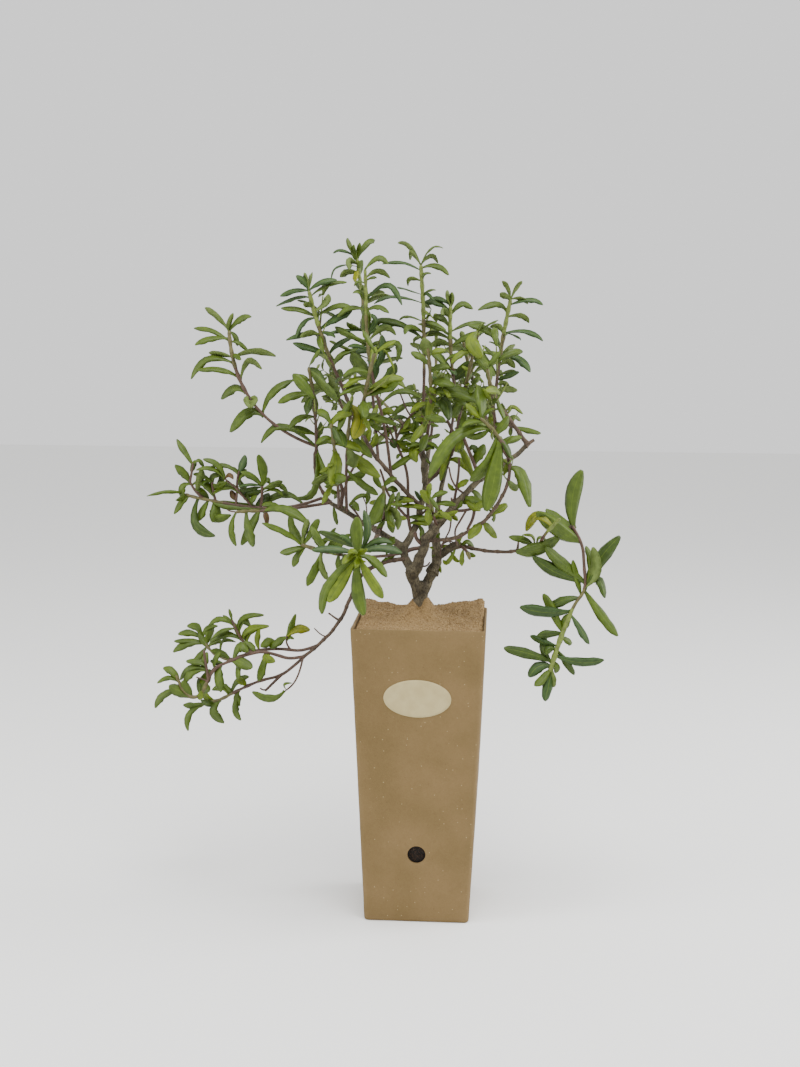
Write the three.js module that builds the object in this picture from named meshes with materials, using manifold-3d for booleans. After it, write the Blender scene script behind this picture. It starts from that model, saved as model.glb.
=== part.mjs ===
// Potted rock rose: a young evergreen shrub in a tall, tapered cardboard tree pot.
// Millimetres, +Z up. The origin is the centre of the pot's flat underside, and its front faces -Y.

import * as THREE from 'three';
import { mergeVertices } from 'three/addons/utils/BufferGeometryUtils.js';
import Module from 'manifold-3d';

const wasm = await Module();
wasm.setup();

// The gap that neighbouring solids keep
const CLEAR = 0.3;

// The pot: a square tube of pressed board, wider at the rim, with a floor
const POT_HEIGHT = 200;
const POT_RIM_WIDTH = 88;
const POT_FOOT_WIDTH = 70;
const POT_CORNER = 3.5;
const POT_CORNER_STEPS = 3;
const BOARD_THICK = 1.6;
const DRAIN_DIAMETER = 12;
const DRAIN_HEIGHT = 47.5;
const DRAIN_SIDES = 18;

// The oval plant label on the pot's front
const LABEL_WIDTH = 44;
const LABEL_HEIGHT = 25;
const LABEL_THICK = 0.3;
const LABEL_CENTRE_HEIGHT = 154.5;
const LABEL_TILT = 1;
const LABEL_SEGMENTS = 14;

// The potting mix that fills the pot, and the sandy dressing heaped on it
const MIX_TOP = 188;
const DRESSING_EDGE = 198.8;
const DRESSING_COLLAR_RISE = 12;
const DRESSING_COLLAR_SPREAD = 15;
const DRESSING_CORNER_RISE = 6;
const DRESSING_RIPPLE = 0.7;
const DRESSING_CELLS = 9;
const DRESSING_REACH = 104;

// The trunk: two stems grown together from one flared foot, up to their fork
const TRUNK_FOOT = new THREE.Vector3(-1, 0, 207);
const TRUNK_SUNK = 4;
const TRUNK_SIDES = 8;
const TRUNK_STEP = 4;
const TRUNK_FLARE = 0.35;
const TRUNK_FLARE_HEIGHT = 5;
const TRUNK_POCKET = 15;
const TRUNK_CUT = 40;

// Limbs and twigs
const BOUGH_SIDES = 5;
const BOUGH_STEP = 16;
const STEM_SIDES = 3;
const STEM_STEP = 22;
const STEM_THICK = [2.8, 1.6];
const TWIG_SIDES = 3;
const TWIG_STEP = 12;
const TWIG_THICK = [1.7, 1.1];
const TWIG_LENGTH = [14, 24];
const TWIG_SPREAD = 46;
const TWIG_RISE = 4;
const TWIG_PAIRS = [0.5, 1];
const TWIG_LEAF = 0.72;
const TWIG_TRIES = [1, 0.75];

// Leaves stand in opposite pairs, closer together towards a shoot's tip. Each kind has its size, the
// angle it leaves the stem at and curls through, the mean step between pairs, and the turn of each
// pair from the one below
const LEAF_THICK = 0.7;
const LEAF_SHOULDERS = [0.36, 0.74];
const LEAF_ROOT_SUNK = 1;
const LEAF_ROOT_OUT = 0.17;
const LEAF_ROLL = [12, 52];
const LEAF_TRIES = [1, 0.82, 0.66];
const LEAF_TESTS = [0.35, 0.7, 1];
const LEAF_LENGTH_RANGE = [0.85, 1.15];
const LEAF_CURL_RANGE = [0.7, 1.2];
const LEAF_KINDS = {
  upright: { length: 27, width: 6.5, spread: 42, curl: 80, pitch: 9.5, pairTurn: 90 },
  fine: { length: 17, width: 4.6, spread: 44, curl: 60, pitch: 9, pairTurn: 90 },
  bushy: { length: 25, width: 6.5, spread: 46, curl: 66, pitch: 9.5, pairTurn: 90 },
  inner: { length: 26, width: 7, spread: 50, curl: 60, pitch: 14, pairTurn: 90 },
  broad: { length: 33, width: 9, spread: 48, curl: 40, pitch: 15, pairTurn: 90 },
  star: { length: 38, width: 9, spread: 72, curl: 14, pitch: 5.5, pairTurn: 38 },
};
const PAIR_CROWDING = 1.35;
const PAIR_SCATTER = 26;
const TIP_CLOSING = 0.6;

// Finishes: colour and roughness
const FINISHES = {
  board: [0x9b8360, 0.9],
  label: [0xd9d2b8, 0.7],
  mix: [0x3a281c, 1],
  dressing: [0x9c8464, 1],
  trunk: [0x5c5044, 0.9],
  old_bark: [0x6b6259, 0.9],
  young_bark: [0x6e4a36, 0.8],
  leaf: [0x55702f, 0.6],
};

// A limb's sizes: the limb it grows from and where on it (0 is its root, 1 its tip), the direction
// it sets off in (0 is right, 90 is the back), how far out and how far up its tip lies, how far its
// middle bows outwards or down, and how far it sways to the left
function limb(name, from, at, heading, out, up, bow, sway, thick = STEM_THICK) {
  return { name, from, at, heading, out, up, bow, sway, thick };
}

const TRUNK_ARMS = [
  limb('trunk_left', null, 0, 198, 6, 25, -1, 0, [8.4, 9.4]),
  limb('trunk_right', null, 0, 14, 8, 23, -1.5, 0, [8.4, 7.8]),
];

const BOUGHS = [
  limb('bough_grey_low', 'trunk_left', 1, 320, 12, 22, 2, 1, [8, 6]),
  limb('bough_grey', 'bough_grey_low', 1, 356, 36, 41, -1, -3, [6, 3.6]),
  limb('bough_grey_knee', 'bough_grey', 1, 15, 32, 23, 1, 0, [3.6, 3]),
  limb('bough_grey_return', 'bough_grey_knee', 1, 185, 22, 31, 1, -1, [2.8, 2.4]),
  limb('bough_dark_low', 'trunk_left', 1, 134, 8, 15, 1, 0, [6, 5.4]),
  limb('bough_left', 'bough_dark_low', 1, 184, 55, 33, 0, -4, [5, 2.6]),
  limb('bough_centre', 'bough_dark_low', 1, 25, 15, 43, 4, 2, [4.8, 3.8]),
  limb('bough_centre_top', 'bough_centre', 1, 218, 3, 34, 0, -1, [3.6, 2.6]),
  limb('bough_centre_right', 'bough_centre', 1, 11, 21, 54, 10, 5, [3, 2.4]),
  limb('bough_right_low', 'trunk_right', 1, 60, 5, 20, 1, -2, [7.6, 6]),
  limb('bough_right_up', 'bough_right_low', 1, 65, 17, 54, 1, 3, [4.6, 2.6]),
  limb('bough_knot', 'bough_right_low', 0.6, 330, 17, 9, 0, -1, [4.8, 5.6]),
  limb('bough_right_arm', 'bough_knot', 1, 345, 76, 16, 10, -1, [2.4, 2]),
  limb('bough_low_left_root', 'bough_dark_low', 0.5, 196, 35, -14, -5, 1, [3, 2.6]),
  limb('bough_low_left', 'bough_low_left_root', 1, 193, 35, -50, 6, 1, [2.6, 2.2]),
  limb('bough_arch', 'bough_grey_low', 1, 328, 61, 36, 10, 1, [2.6, 2.2]),
  limb('bough_left_up', 'bough_left', 0.9, 214, 10, 38, 5, -2, [2.4, 2]),
  limb('bough_diagonal', 'bough_centre', 0.65, 194, 54, 81, 7, 2, [3, 2.4]),
  limb('bough_front', 'bough_left', 0.35, 268, 68, -3, -1, 5, [3, 2.4]),
  limb('bough_back', 'bough_right_low', 1, 98, 56, 66, 10, 3, [4, 2.6]),
];

// A leafy shoot: its stem, its kind of leaf, the bare part of the stem, the turn of the pair of
// leaves at its tip and how many side twigs it has
function shoot(stem, kind, bare, turn, twigs) {
  return { ...stem, kind: LEAF_KINDS[kind], bare, turn, twigs };
}

const SHOOTS = [
  shoot(limb('shoot_top_middle', 'bough_centre_top', 1, 263, 10, 110, 1, 2), 'upright', 0.15, 0, 2),
  shoot(limb('shoot_top_left', 'bough_diagonal', 0.45, 121, 33, 133, 6, -4), 'upright', 0.35, 0, 2),
  shoot(limb('shoot_top_left_front', 'bough_diagonal', 0.3, 245, 29, 127, 5, 3), 'upright', 0.35, 90, 2),
  shoot(limb('shoot_left_centre', 'bough_diagonal', 1, 205, 23, 62, 2, 0), 'upright', 0.05, 0, 2),
  shoot(limb('shoot_right_centre', 'bough_centre_right', 1, 245, 11, 64, 2, -1), 'upright', 0.1, 0, 2),
  shoot(limb('shoot_top_right', 'bough_grey_return', 1, 335, 10, 63, -1, 0), 'upright', 0.05, 0, 2),
  shoot(limb('shoot_upper_left', 'bough_left_up', 1, 182, 58, 76, 16, 3), 'bushy', 0.3, 0, 0),
  shoot(limb('shoot_left_tall', 'bough_left_up', 0.95, 263, 20, 55, 2, 2), 'broad', 0.2, 0, 1),
  shoot(limb('spray_left_upper', 'bough_left', 1, 185, 92, 12, 9, -2), 'bushy', 0.15, 0, 3),
  shoot(limb('spray_left_lower', 'bough_left', 0.9, 209, 74, -4, 6, 5), 'bushy', 0.25, 0, 2),
  shoot(limb('sprig_left', 'bough_dark_low', 0.8, 211, 76, 10, 5, 2), 'bushy', 0.6, 0, 2),
  shoot(limb('spray_front', 'bough_front', 1, 268, 26, -1, 0, 0), 'star', 0.1, 0, 0),
  shoot(limb('spray_low_left_tip', 'bough_low_left', 1, 191, 76, -18, -10, 1), 'bushy', 0.15, 0, 3),
  shoot(limb('spray_low_left_under', 'bough_low_left', 0.95, 167, 68, -38, 3, -4), 'bushy', 0.3, 0, 2),
  shoot(limb('spray_low_left_over', 'bough_low_left', 0.8, 163, 89, -1, 1, -8), 'bushy', 0.25, 0, 3),
  shoot(limb('spray_right_arm', 'bough_right_arm', 0.7, 297, 26, 20, 1, -3), 'broad', 0.3, 0, 0),
  shoot(limb('spray_right_hanging', 'bough_right_arm', 1, 217, 17, -97, 12, 11), 'broad', 0.3, 0, 0),
  shoot(limb('shoot_arch', 'bough_arch', 1, 229, 24, 48, -3, 10), 'broad', 0.1, 0, 0),
  shoot(limb('sprig_right', 'bough_grey_return', 0.4, 102, 26, 10, 5, 0), 'fine', 0.2, 0, 1),
  shoot(limb('sprig_knot', 'bough_knot', 0.9, 302, 17, -7, -2, 1), 'fine', 0.4, 0, 1),
  shoot(limb('shoot_yellow', 'bough_left', 0.7, 280, 45, 80, 3, -2), 'broad', 0.3, 0, 2),
  shoot(limb('shoot_front_left', 'bough_diagonal', 0.6, 280, 59, 59, 12, -6), 'inner', 0.25, 0, 2),
  shoot(limb('shoot_front_middle', 'bough_centre_top', 0.6, 276, 54, 70, 8, 3), 'inner', 0.25, 0, 2),
  shoot(limb('shoot_front_right', 'bough_centre_right', 0.55, 284, 65, 75, 7, -3), 'inner', 0.25, 0, 2),
  shoot(limb('shoot_red', 'bough_grey_knee', 0.6, 127, 54, 77, 14, -6), 'inner', 0.25, 0, 1),
  shoot(limb('shoot_right_side', 'bough_grey_knee', 0.35, 261, 47, 66, 2, 2), 'inner', 0.25, 0, 2),
  shoot(limb('shoot_back_left', 'bough_diagonal', 0.75, 107, 70, 68, 18, 5), 'inner', 0.3, 0, 1),
  shoot(limb('shoot_back_middle', 'bough_back', 1, 175, 24, 93, 2, -3), 'inner', 0.2, 0, 1),
  shoot(limb('shoot_back_right', 'bough_right_up', 1, 63, 43, 90, 2, 6), 'inner', 0.2, 0, 1),
  shoot(limb('shoot_back_centre', 'bough_back', 0.8, 85, 41, 99, 9, -1), 'inner', 0.3, 0, 1),
  shoot(limb('shoot_back_low_left', 'bough_back', 0.7, 140, 70, 63, -4, -9), 'inner', 0.3, 0, 1),
  shoot(limb('shoot_back_low_right', 'bough_back', 0.75, 35, 61, 54, 2, 9), 'inner', 0.3, 0, 1),
  shoot(limb('sprig_inner_left', 'bough_left', 0.3, 279, 26, 34, 3, 2), 'fine', 0.3, 0, 1),
  shoot(limb('sprig_inner_right', 'bough_grey', 0.25, 260, 22, 20, 3, 0), 'fine', 0.3, 0, 1),
  shoot(limb('shoot_left_inner', 'bough_left', 0.8, 270, 45, 59, 8, 2), 'broad', 0.25, 0, 2),
];

// A large leaf that shows by itself: where it grows, the heading and slope it starts in, and its
// length, width, curl towards the ground and roll about its midrib
function largeLeaf(on, place, heading, slope, length, width, curl, roll) {
  return { on, place, heading, spread: 90 - slope, length, width, curl, roll };
}

const LARGE_LEAVES = [
  largeLeaf('spray_right_hanging', 0.02, 37, 74, 39, 10, -12, 90),
  largeLeaf('spray_right_hanging', 0.05, 193, 38, 31, 11, 14, 60),
  largeLeaf('spray_right_hanging', 0.12, 193, 2, 35, 8, 14, 40),
  largeLeaf('spray_right_hanging', 0.28, 344, 53, 32, 9, 12, 60),
  largeLeaf('spray_right_hanging', 0.33, 188, 45, 35, 10, 20, 70),
  largeLeaf('spray_right_hanging', 0.36, 32, -18, 19, 8, 30, 60),
  largeLeaf('spray_right_hanging', 0.44, 5, -44, 33, 7.5, 14, 50),
  largeLeaf('spray_right_hanging', 0.5, 186, 3, 41, 9, 10, 50),
  largeLeaf('spray_right_hanging', 0.7, 170, 43, 34, 8, -10, 70),
  largeLeaf('spray_right_hanging', 0.86, 186, 11, 39, 9, 6, 60),
  largeLeaf('spray_right_hanging', 0.88, 4, 3, 27, 8, 8, 60),
  largeLeaf('spray_right_hanging', 0.97, 201, -72, 21, 9, 6, 80),
  largeLeaf('shoot_arch', 0.72, 214, -75, 45, 11.5, 12, 80),
  largeLeaf('shoot_arch', 0.95, 194, 0, 52, 10, 92, 20),
  largeLeaf('shoot_arch', 0.4, 353, -1, 34, 9.5, 105, 60),
  largeLeaf('shoot_left_tall', 0.1, 187, 73, 42, 7, 78, 30),
  largeLeaf('shoot_left_tall', 0.55, 225, 66, 14, 9, 80, 40),
  largeLeaf('shoot_yellow', 0.45, 339, -5, 24, 11, 30, 70),
  largeLeaf('shoot_left_inner', 0.5, 194, 2, 18, 8, 50, 60),
];

const UP = new THREE.Vector3(0, 0, 1);
const DEPTH = new THREE.Vector3(0, 1, 0);
const radians = THREE.MathUtils.degToRad;
const mix = THREE.MathUtils.lerp;

// Seeded chance: the same number from 0 to 1 for the same seed
function chance(seed) {
  const wave = Math.sin(seed * 12.9898) * 43758.5453;
  return wave - Math.floor(wave);
}

// A closed solid from corner points and triangles
function closedSolid(coordinates, corners) {
  const vertProperties = new Float32Array(coordinates);
  const triVerts = new Uint32Array(corners);
  return new wasm.Manifold(new wasm.Mesh({ numProp: 3, vertProperties, triVerts }));
}

// A closed solid from a closed shape of the library
function shapeSolid(geometry) {
  geometry.deleteAttribute('normal');
  geometry.deleteAttribute('uv');
  const merged = mergeVertices(geometry, 1e-4);
  return closedSolid(merged.attributes.position.array, merged.index.array);
}

// A closed solid through rings of equally many points, each anticlockwise seen from the last ring
function loft(rings) {
  const sides = rings[0].length;
  const corners = [];
  for (let low = 0; low + sides < rings.length * sides; low += sides) {
    for (let side = 0; side < sides; side += 1) {
      const next = (side + 1) % sides;
      corners.push(low + side, low + next, low + sides + next);
      corners.push(low + side, low + sides + next, low + sides + side);
    }
  }
  const last = (rings.length - 1) * sides;
  for (let side = 1; side + 1 < sides; side += 1) {
    corners.push(0, side + 1, side, last, last + side, last + side + 1);
  }
  return closedSolid(rings.flat().flatMap((point) => point.toArray()), corners);
}

// The largest loose piece of a solid: the scraps that a cut leaves are dropped
function withoutScraps(solid) {
  return solid.decompose().reduce((best, piece) => (piece.volume() > best.volume() ? piece : best));
}

// The route of a limb from its root, as one smooth bend
function routeFrom(root, { heading, out, up, bow, sway }) {
  const ahead = new THREE.Vector3(Math.cos(radians(heading)), Math.sin(radians(heading)), 0);
  const leftward = new THREE.Vector3(-ahead.y, ahead.x, 0);
  const tip = root.clone().addScaledVector(ahead, out).addScaledVector(UP, up);
  const reach = Math.hypot(out, up);
  const bend = root.clone().lerp(tip, 0.5).addScaledVector(leftward, 2 * sway);
  bend.addScaledVector(ahead, (2 * bow * up) / reach).addScaledVector(UP, (-2 * bow * out) / reach);
  return new THREE.QuadraticBezierCurve3(root, bend, tip);
}

// Directions at a place on a route: along it, and two square to it. The first of the two
// lies in the front view's plane, unless the route runs in depth
function directions(route, place) {
  const along = route.getTangent(place);
  const chord = route.v2.clone().sub(route.v0).normalize();
  const reference = Math.abs(chord.dot(DEPTH)) > 0.8 ? UP : DEPTH;
  const across = new THREE.Vector3().crossVectors(along, reference).normalize();
  return { along, across, other: new THREE.Vector3().crossVectors(along, across) };
}

// The direction square to a route at an angle round it
function outward({ across, other }, angle) {
  return across.clone().multiplyScalar(Math.cos(angle)).addScaledVector(other, Math.sin(angle));
}

// How many straight lengths a limb is made of
function stepsOf(route, stepLength) {
  return Math.max(2, Math.round(route.getLength() / stepLength));
}

// The point at a place on a limb's centre line, which runs straight between the limb's rings
function centreOf(route, place, stepLength) {
  const steps = stepsOf(route, stepLength);
  const step = Math.min(Math.floor(place * steps), steps - 1);
  return route.getPoint(step / steps).lerp(route.getPoint((step + 1) / steps), place * steps - step);
}

// A tapering limb round its route; fattened, it is the space that its neighbours are cut clear of
function limbSolid(route, thickAt, sides, stepLength, fatten = 0) {
  const steps = stepsOf(route, stepLength);
  const rings = [];
  for (let step = 0; step <= steps; step += 1) {
    const place = step / steps;
    const frame = directions(route, place);
    const centre = route.getPoint(place);
    if (step === 0) centre.addScaledVector(frame.along, -fatten);
    if (step === steps) centre.addScaledVector(frame.along, fatten);
    const radius = thickAt(place) / 2 + fatten;
    const ring = [];
    for (let side = 0; side < sides; side += 1) {
      const angle = (2 * Math.PI * (side + 0.5)) / sides;
      ring.push(centre.clone().addScaledVector(outward(frame, angle), radius));
    }
    rings.push(ring);
  }
  return loft(rings);
}

const evenTaper = (thick) => (place) => mix(thick[0], thick[1], place);

// The square with rounded corners that the pot has at a height
function roundedSquare(width, corner, height) {
  const ring = [];
  for (let quarter = 0; quarter < 4; quarter += 1) {
    const middle = (Math.PI / 2) * (quarter + 0.5);
    const inset = (width / 2 - corner) * Math.SQRT2;
    for (let step = 0; step <= POT_CORNER_STEPS; step += 1) {
      const angle = (Math.PI / 2) * (quarter + step / POT_CORNER_STEPS);
      const x = inset * Math.cos(middle) + corner * Math.cos(angle);
      const y = inset * Math.sin(middle) + corner * Math.sin(angle);
      ring.push(new THREE.Vector3(x, y, height));
    }
  }
  return ring;
}

// The pot's outer width at a height
function potWidth(height) {
  return mix(POT_FOOT_WIDTH, POT_RIM_WIDTH, height / POT_HEIGHT);
}

// A block with the pot's taper between two heights, set in from the pot's outer face
function potBlock(bottom, top, inset) {
  const corner = Math.max(POT_CORNER - inset, 1);
  const widthAt = (height) => potWidth(height) - 2 * inset;
  return loft([bottom, top].map((height) => roundedSquare(widthAt(height), corner, height)));
}

function makePot() {
  const hollow = potBlock(BOARD_THICK, POT_HEIGHT + 1, BOARD_THICK);
  const drains = new THREE.CylinderGeometry(DRAIN_DIAMETER / 2, DRAIN_DIAMETER / 2, 2 * POT_RIM_WIDTH, DRAIN_SIDES);
  drains.translate(0, 0, DRAIN_HEIGHT);
  return potBlock(0, POT_HEIGHT, 0).subtract(hollow).subtract(shapeSolid(drains));
}

// The label lies along the sloping front, a hair clear of the board
function makeLabel() {
  const oval = new THREE.Shape();
  oval.absellipse(0, 0, LABEL_WIDTH / 2, LABEL_HEIGHT / 2, 0, 2 * Math.PI);
  const layer = { depth: LABEL_THICK, bevelEnabled: false, curveSegments: LABEL_SEGMENTS };
  const label = new THREE.ExtrudeGeometry(oval, layer);
  const slope = Math.atan2(POT_RIM_WIDTH - POT_FOOT_WIDTH, 2 * POT_HEIGHT);
  label.rotateZ(radians(-LABEL_TILT));
  label.rotateX(Math.PI / 2 + slope);
  label.translate(0, -potWidth(LABEL_CENTRE_HEIGHT) / 2 - CLEAR, LABEL_CENTRE_HEIGHT);
  return shapeSolid(label);
}

function makePottingMix() {
  return potBlock(BOARD_THICK + CLEAR, MIX_TOP, BOARD_THICK + CLEAR);
}

// The dressing's surface: a collar heaped against the trunk, higher back corners, small ripples
function dressingHeight(x, y) {
  const half = POT_RIM_WIDTH / 2;
  const fromTrunk = Math.hypot(x - TRUNK_FOOT.x, y - TRUNK_FOOT.y);
  const collar = DRESSING_COLLAR_RISE * Math.exp(-((fromTrunk / DRESSING_COLLAR_SPREAD) ** 2));
  const corner = DRESSING_CORNER_RISE * THREE.MathUtils.clamp(y / half, 0, 1) * (x / half) ** 2;
  const calm = 1 - Math.min(1, Math.max(Math.abs(x), Math.abs(y)) / half);
  const ripple = DRESSING_RIPPLE * calm * Math.sin(x * 0.31 + 1) * Math.cos(y * 0.27);
  return DRESSING_EDGE + collar + corner + ripple;
}

// The dressing fills the mouth of the pot above the mix, with a pocket for the trunk's foot
function makeDressing() {
  const heap = new THREE.BoxGeometry(DRESSING_REACH, DRESSING_REACH, 1, DRESSING_CELLS, DRESSING_CELLS, 1);
  const corners = heap.attributes.position;
  for (let index = 0; index < corners.count; index += 1) {
    const surface = dressingHeight(corners.getX(index), corners.getY(index));
    corners.setZ(index, corners.getZ(index) > 0 ? surface : MIX_TOP - 1);
  }
  const pocket = new THREE.CylinderGeometry(TRUNK_POCKET / 2, TRUNK_POCKET / 2, DRESSING_REACH, 20);
  pocket.rotateX(Math.PI / 2);
  pocket.translate(TRUNK_FOOT.x, TRUNK_FOOT.y, TRUNK_FOOT.z - CLEAR + DRESSING_REACH / 2);
  const mouth = potBlock(MIX_TOP + CLEAR, POT_HEIGHT + DRESSING_REACH, BOARD_THICK + CLEAR);
  return mouth.intersect(shapeSolid(heap)).subtract(shapeSolid(pocket));
}

// Every limb's route, worked out from its parent's
const routes = {};
const trunkRoot = TRUNK_FOOT.clone().addScaledVector(UP, -TRUNK_SUNK);
TRUNK_ARMS.forEach((arm) => {
  routes[arm.name] = routeFrom(trunkRoot, { ...arm, up: arm.up + TRUNK_SUNK });
});
[...BOUGHS, ...SHOOTS].forEach((part) => {
  routes[part.name] = routeFrom(routes[part.from].getPoint(part.at), part);
});

// The limbs as chains of short straight lengths, for measuring how near a point lies
const CHAIN_STEPS = 8;
const lines = [...TRUNK_ARMS, ...BOUGHS, ...SHOOTS].map((part) => {
  const points = routes[part.name].getPoints(CHAIN_STEPS);
  const links = points.slice(1).map((point, index) => new THREE.Line3(points[index], point));
  return { name: part.name, links, radius: part.thick[0] / 2, leafy: 'kind' in part };
});

// The large leaves are laid first, and take their room as limbs do
const largeLeaves = LARGE_LEAVES.map((leaf) => {
  const { x, y } = new THREE.Vector2(1, 0).rotateAround(new THREE.Vector2(), radians(leaf.heading));
  const root = centreOf(routes[leaf.on], leaf.place, STEM_STEP);
  const stem = routes[leaf.on].getTangent(leaf.place);
  return { ...leaf, root, stem, stemThick: STEM_THICK[1], along: UP, out: new THREE.Vector3(x, y, 0) };
});
largeLeaves.forEach((leaf) => {
  const points = [0.25, 0.5, 0.75, 1].map((part) => midribPoint(leaf, part));
  const links = points.slice(1).map((point, index) => new THREE.Line3(points[index], point));
  lines.push({ name: 'large_leaf', links, radius: leaf.width / 2, leafy: false });
});

function distanceTo(line, point) {
  const nearest = new THREE.Vector3();
  const toLink = (link) => link.closestPointToPoint(point, true, nearest).distanceTo(point);
  return Math.min(...line.links.map(toLink));
}

// Whether a thing of this half width, at this point, keeps to the space of its own shoot: nearer to
// its own stem than to any other, clear of every bough, and clear of the pot and its dressing
function keepsToOwnSpace(point, halfWidth, name) {
  const own = distanceTo(lines.find((line) => line.name === name), point);
  const overPot = Math.max(Math.abs(point.x), Math.abs(point.y)) < POT_RIM_WIDTH / 2 + halfWidth + 1;
  if (overPot && point.z < POT_HEIGHT + DRESSING_CORNER_RISE + halfWidth) return false;
  return lines.every((line) => {
    if (line.name === name) return true;
    const distance = distanceTo(line, point);
    return line.leafy
      ? distance - own > halfWidth + STEM_THICK[0] / 2 + CLEAR
      : distance - line.radius > halfWidth + CLEAR;
  });
}

// A point on a leaf's midrib: it leaves the stem at its spread angle and curls away from it
function midribPoint(leaf, part) {
  const start = radians(leaf.spread);
  const curl = radians(leaf.curl);
  const end = start + curl * part;
  const onward = (Math.sin(end) - Math.sin(start)) / curl;
  const away = (Math.cos(start) - Math.cos(end)) / curl;
  const point = leaf.root.clone().addScaledVector(leaf.along, leaf.length * onward);
  return point.addScaledVector(leaf.out, leaf.length * away);
}

// A leaf of ten faces: root, two edge corners at each shoulder, tip, and a ridge corner over the
// middle. A rolled leaf is turned about its midrib
function leafSolid(leaf) {
  const corner = (part, sideways, above) => {
    const angle = radians(leaf.spread + leaf.curl * part);
    const lengthways = outward({ across: leaf.along, other: leaf.out }, angle);
    const level = outward({ across: leaf.along, other: leaf.out }, angle - Math.PI / 2).negate();
    const edgeways = new THREE.Vector3().crossVectors(lengthways, level);
    const face = outward({ across: level, other: edgeways }, radians(leaf.roll));
    const edge = new THREE.Vector3().crossVectors(lengthways, face);
    return midribPoint(leaf, part).addScaledVector(edge, sideways).addScaledVector(face, above);
  };
  const root = leaf.root.clone().addScaledVector(leaf.stem, -LEAF_ROOT_SUNK);
  root.addScaledVector(leaf.out, LEAF_ROOT_OUT * leaf.stemThick);
  const half = leaf.width / 2;
  const [lower, upper] = LEAF_SHOULDERS;
  const points = [
    root,
    corner(lower, half, 0),
    corner(upper, half, 0),
    midribPoint(leaf, 1),
    corner(upper, -half, 0),
    corner(lower, -half, 0),
    corner((lower + upper) / 2, 0, LEAF_THICK),
  ];
  const upperFaces = [0, 1, 6, 1, 2, 6, 2, 3, 6, 3, 4, 6, 4, 5, 6, 5, 0, 6];
  const lowerFaces = [0, 5, 1, 5, 2, 1, 5, 4, 2, 4, 3, 2];
  return closedSolid(points.flatMap((point) => point.toArray()), [...upperFaces, ...lowerFaces]);
}

// How wide a leaf is at a part of its length, from its midrib to its edge
function halfWidthAt(leaf, part) {
  const [lower, upper] = LEAF_SHOULDERS;
  return (leaf.width / 2) * Math.min(1, part / lower, (1 - part) / (1 - upper));
}

// A leaf that fits its shoot's own space, shorter where it has to be, or nothing
function fittedLeaf(leaf, name) {
  for (const scale of LEAF_TRIES) {
    const tried = { ...leaf, length: leaf.length * scale, width: leaf.width * Math.sqrt(scale) };
    const fits = LEAF_TESTS.every((part) => {
      const room = halfWidthAt(tried, part) + LEAF_THICK / 2;
      return keepsToOwnSpace(midribPoint(tried, part), room, name);
    });
    if (fits) return [tried];
  }
  return [];
}

// A pair of opposite leaves at a place on a branch of a shoot
function leafPair(branch, place, turn, size, closing, { name, kind }, seed) {
  const { route, thick, step } = branch;
  const frame = directions(route, place);
  return [0, 1].flatMap((side) => {
    const draw = (which) => chance(seed + side + which);
    const swing = PAIR_SCATTER * (draw(0) - 0.5);
    const leaf = {
      root: centreOf(route, place, step),
      stem: frame.along,
      stemThick: mix(thick[0], thick[1], place),
      along: frame.along,
      out: outward(frame, radians(turn + 180 * side + swing)),
      length: kind.length * size * mix(...LEAF_LENGTH_RANGE, draw(0.3)),
      width: kind.width * Math.sqrt(size),
      spread: kind.spread * closing,
      curl: kind.curl * closing * mix(...LEAF_CURL_RANGE, draw(0.6)),
      roll: Math.sign(draw(0.8) - 0.5) * mix(...LEAF_ROLL, draw(0.9)),
    };
    return fittedLeaf(leaf, name);
  });
}

// A side twig that leaves its stem at the twig's spread angle and turns up, or nothing
function sideTwig(part, place, turn, seed) {
  const frame = directions(routes[part.name], place);
  const root = routes[part.name].getPoint(place);
  const heading = frame.along.clone().multiplyScalar(Math.cos(radians(TWIG_SPREAD)));
  heading.addScaledVector(outward(frame, radians(turn)), Math.sin(radians(TWIG_SPREAD)));
  for (const scale of TWIG_TRIES) {
    const length = scale * mix(TWIG_LENGTH[0], TWIG_LENGTH[1], chance(seed));
    const bend = root.clone().addScaledVector(heading, length / 2);
    const tip = root.clone().addScaledVector(heading, length).addScaledVector(UP, TWIG_RISE * scale);
    const halfThick = TWIG_THICK[0] / 2;
    const fits = [bend, tip].every((point) => keepsToOwnSpace(point, halfThick, part.name));
    if (fits) return [new THREE.QuadraticBezierCurve3(root, bend, tip)];
  }
  return [];
}

// How large a pair of leaves is at a part of the leafy stretch: smaller at its start and at the tip
function sizeAt(part) {
  return 0.45 + 0.55 * Math.sin(Math.PI * mix(0.85, 0.05, part));
}

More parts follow.
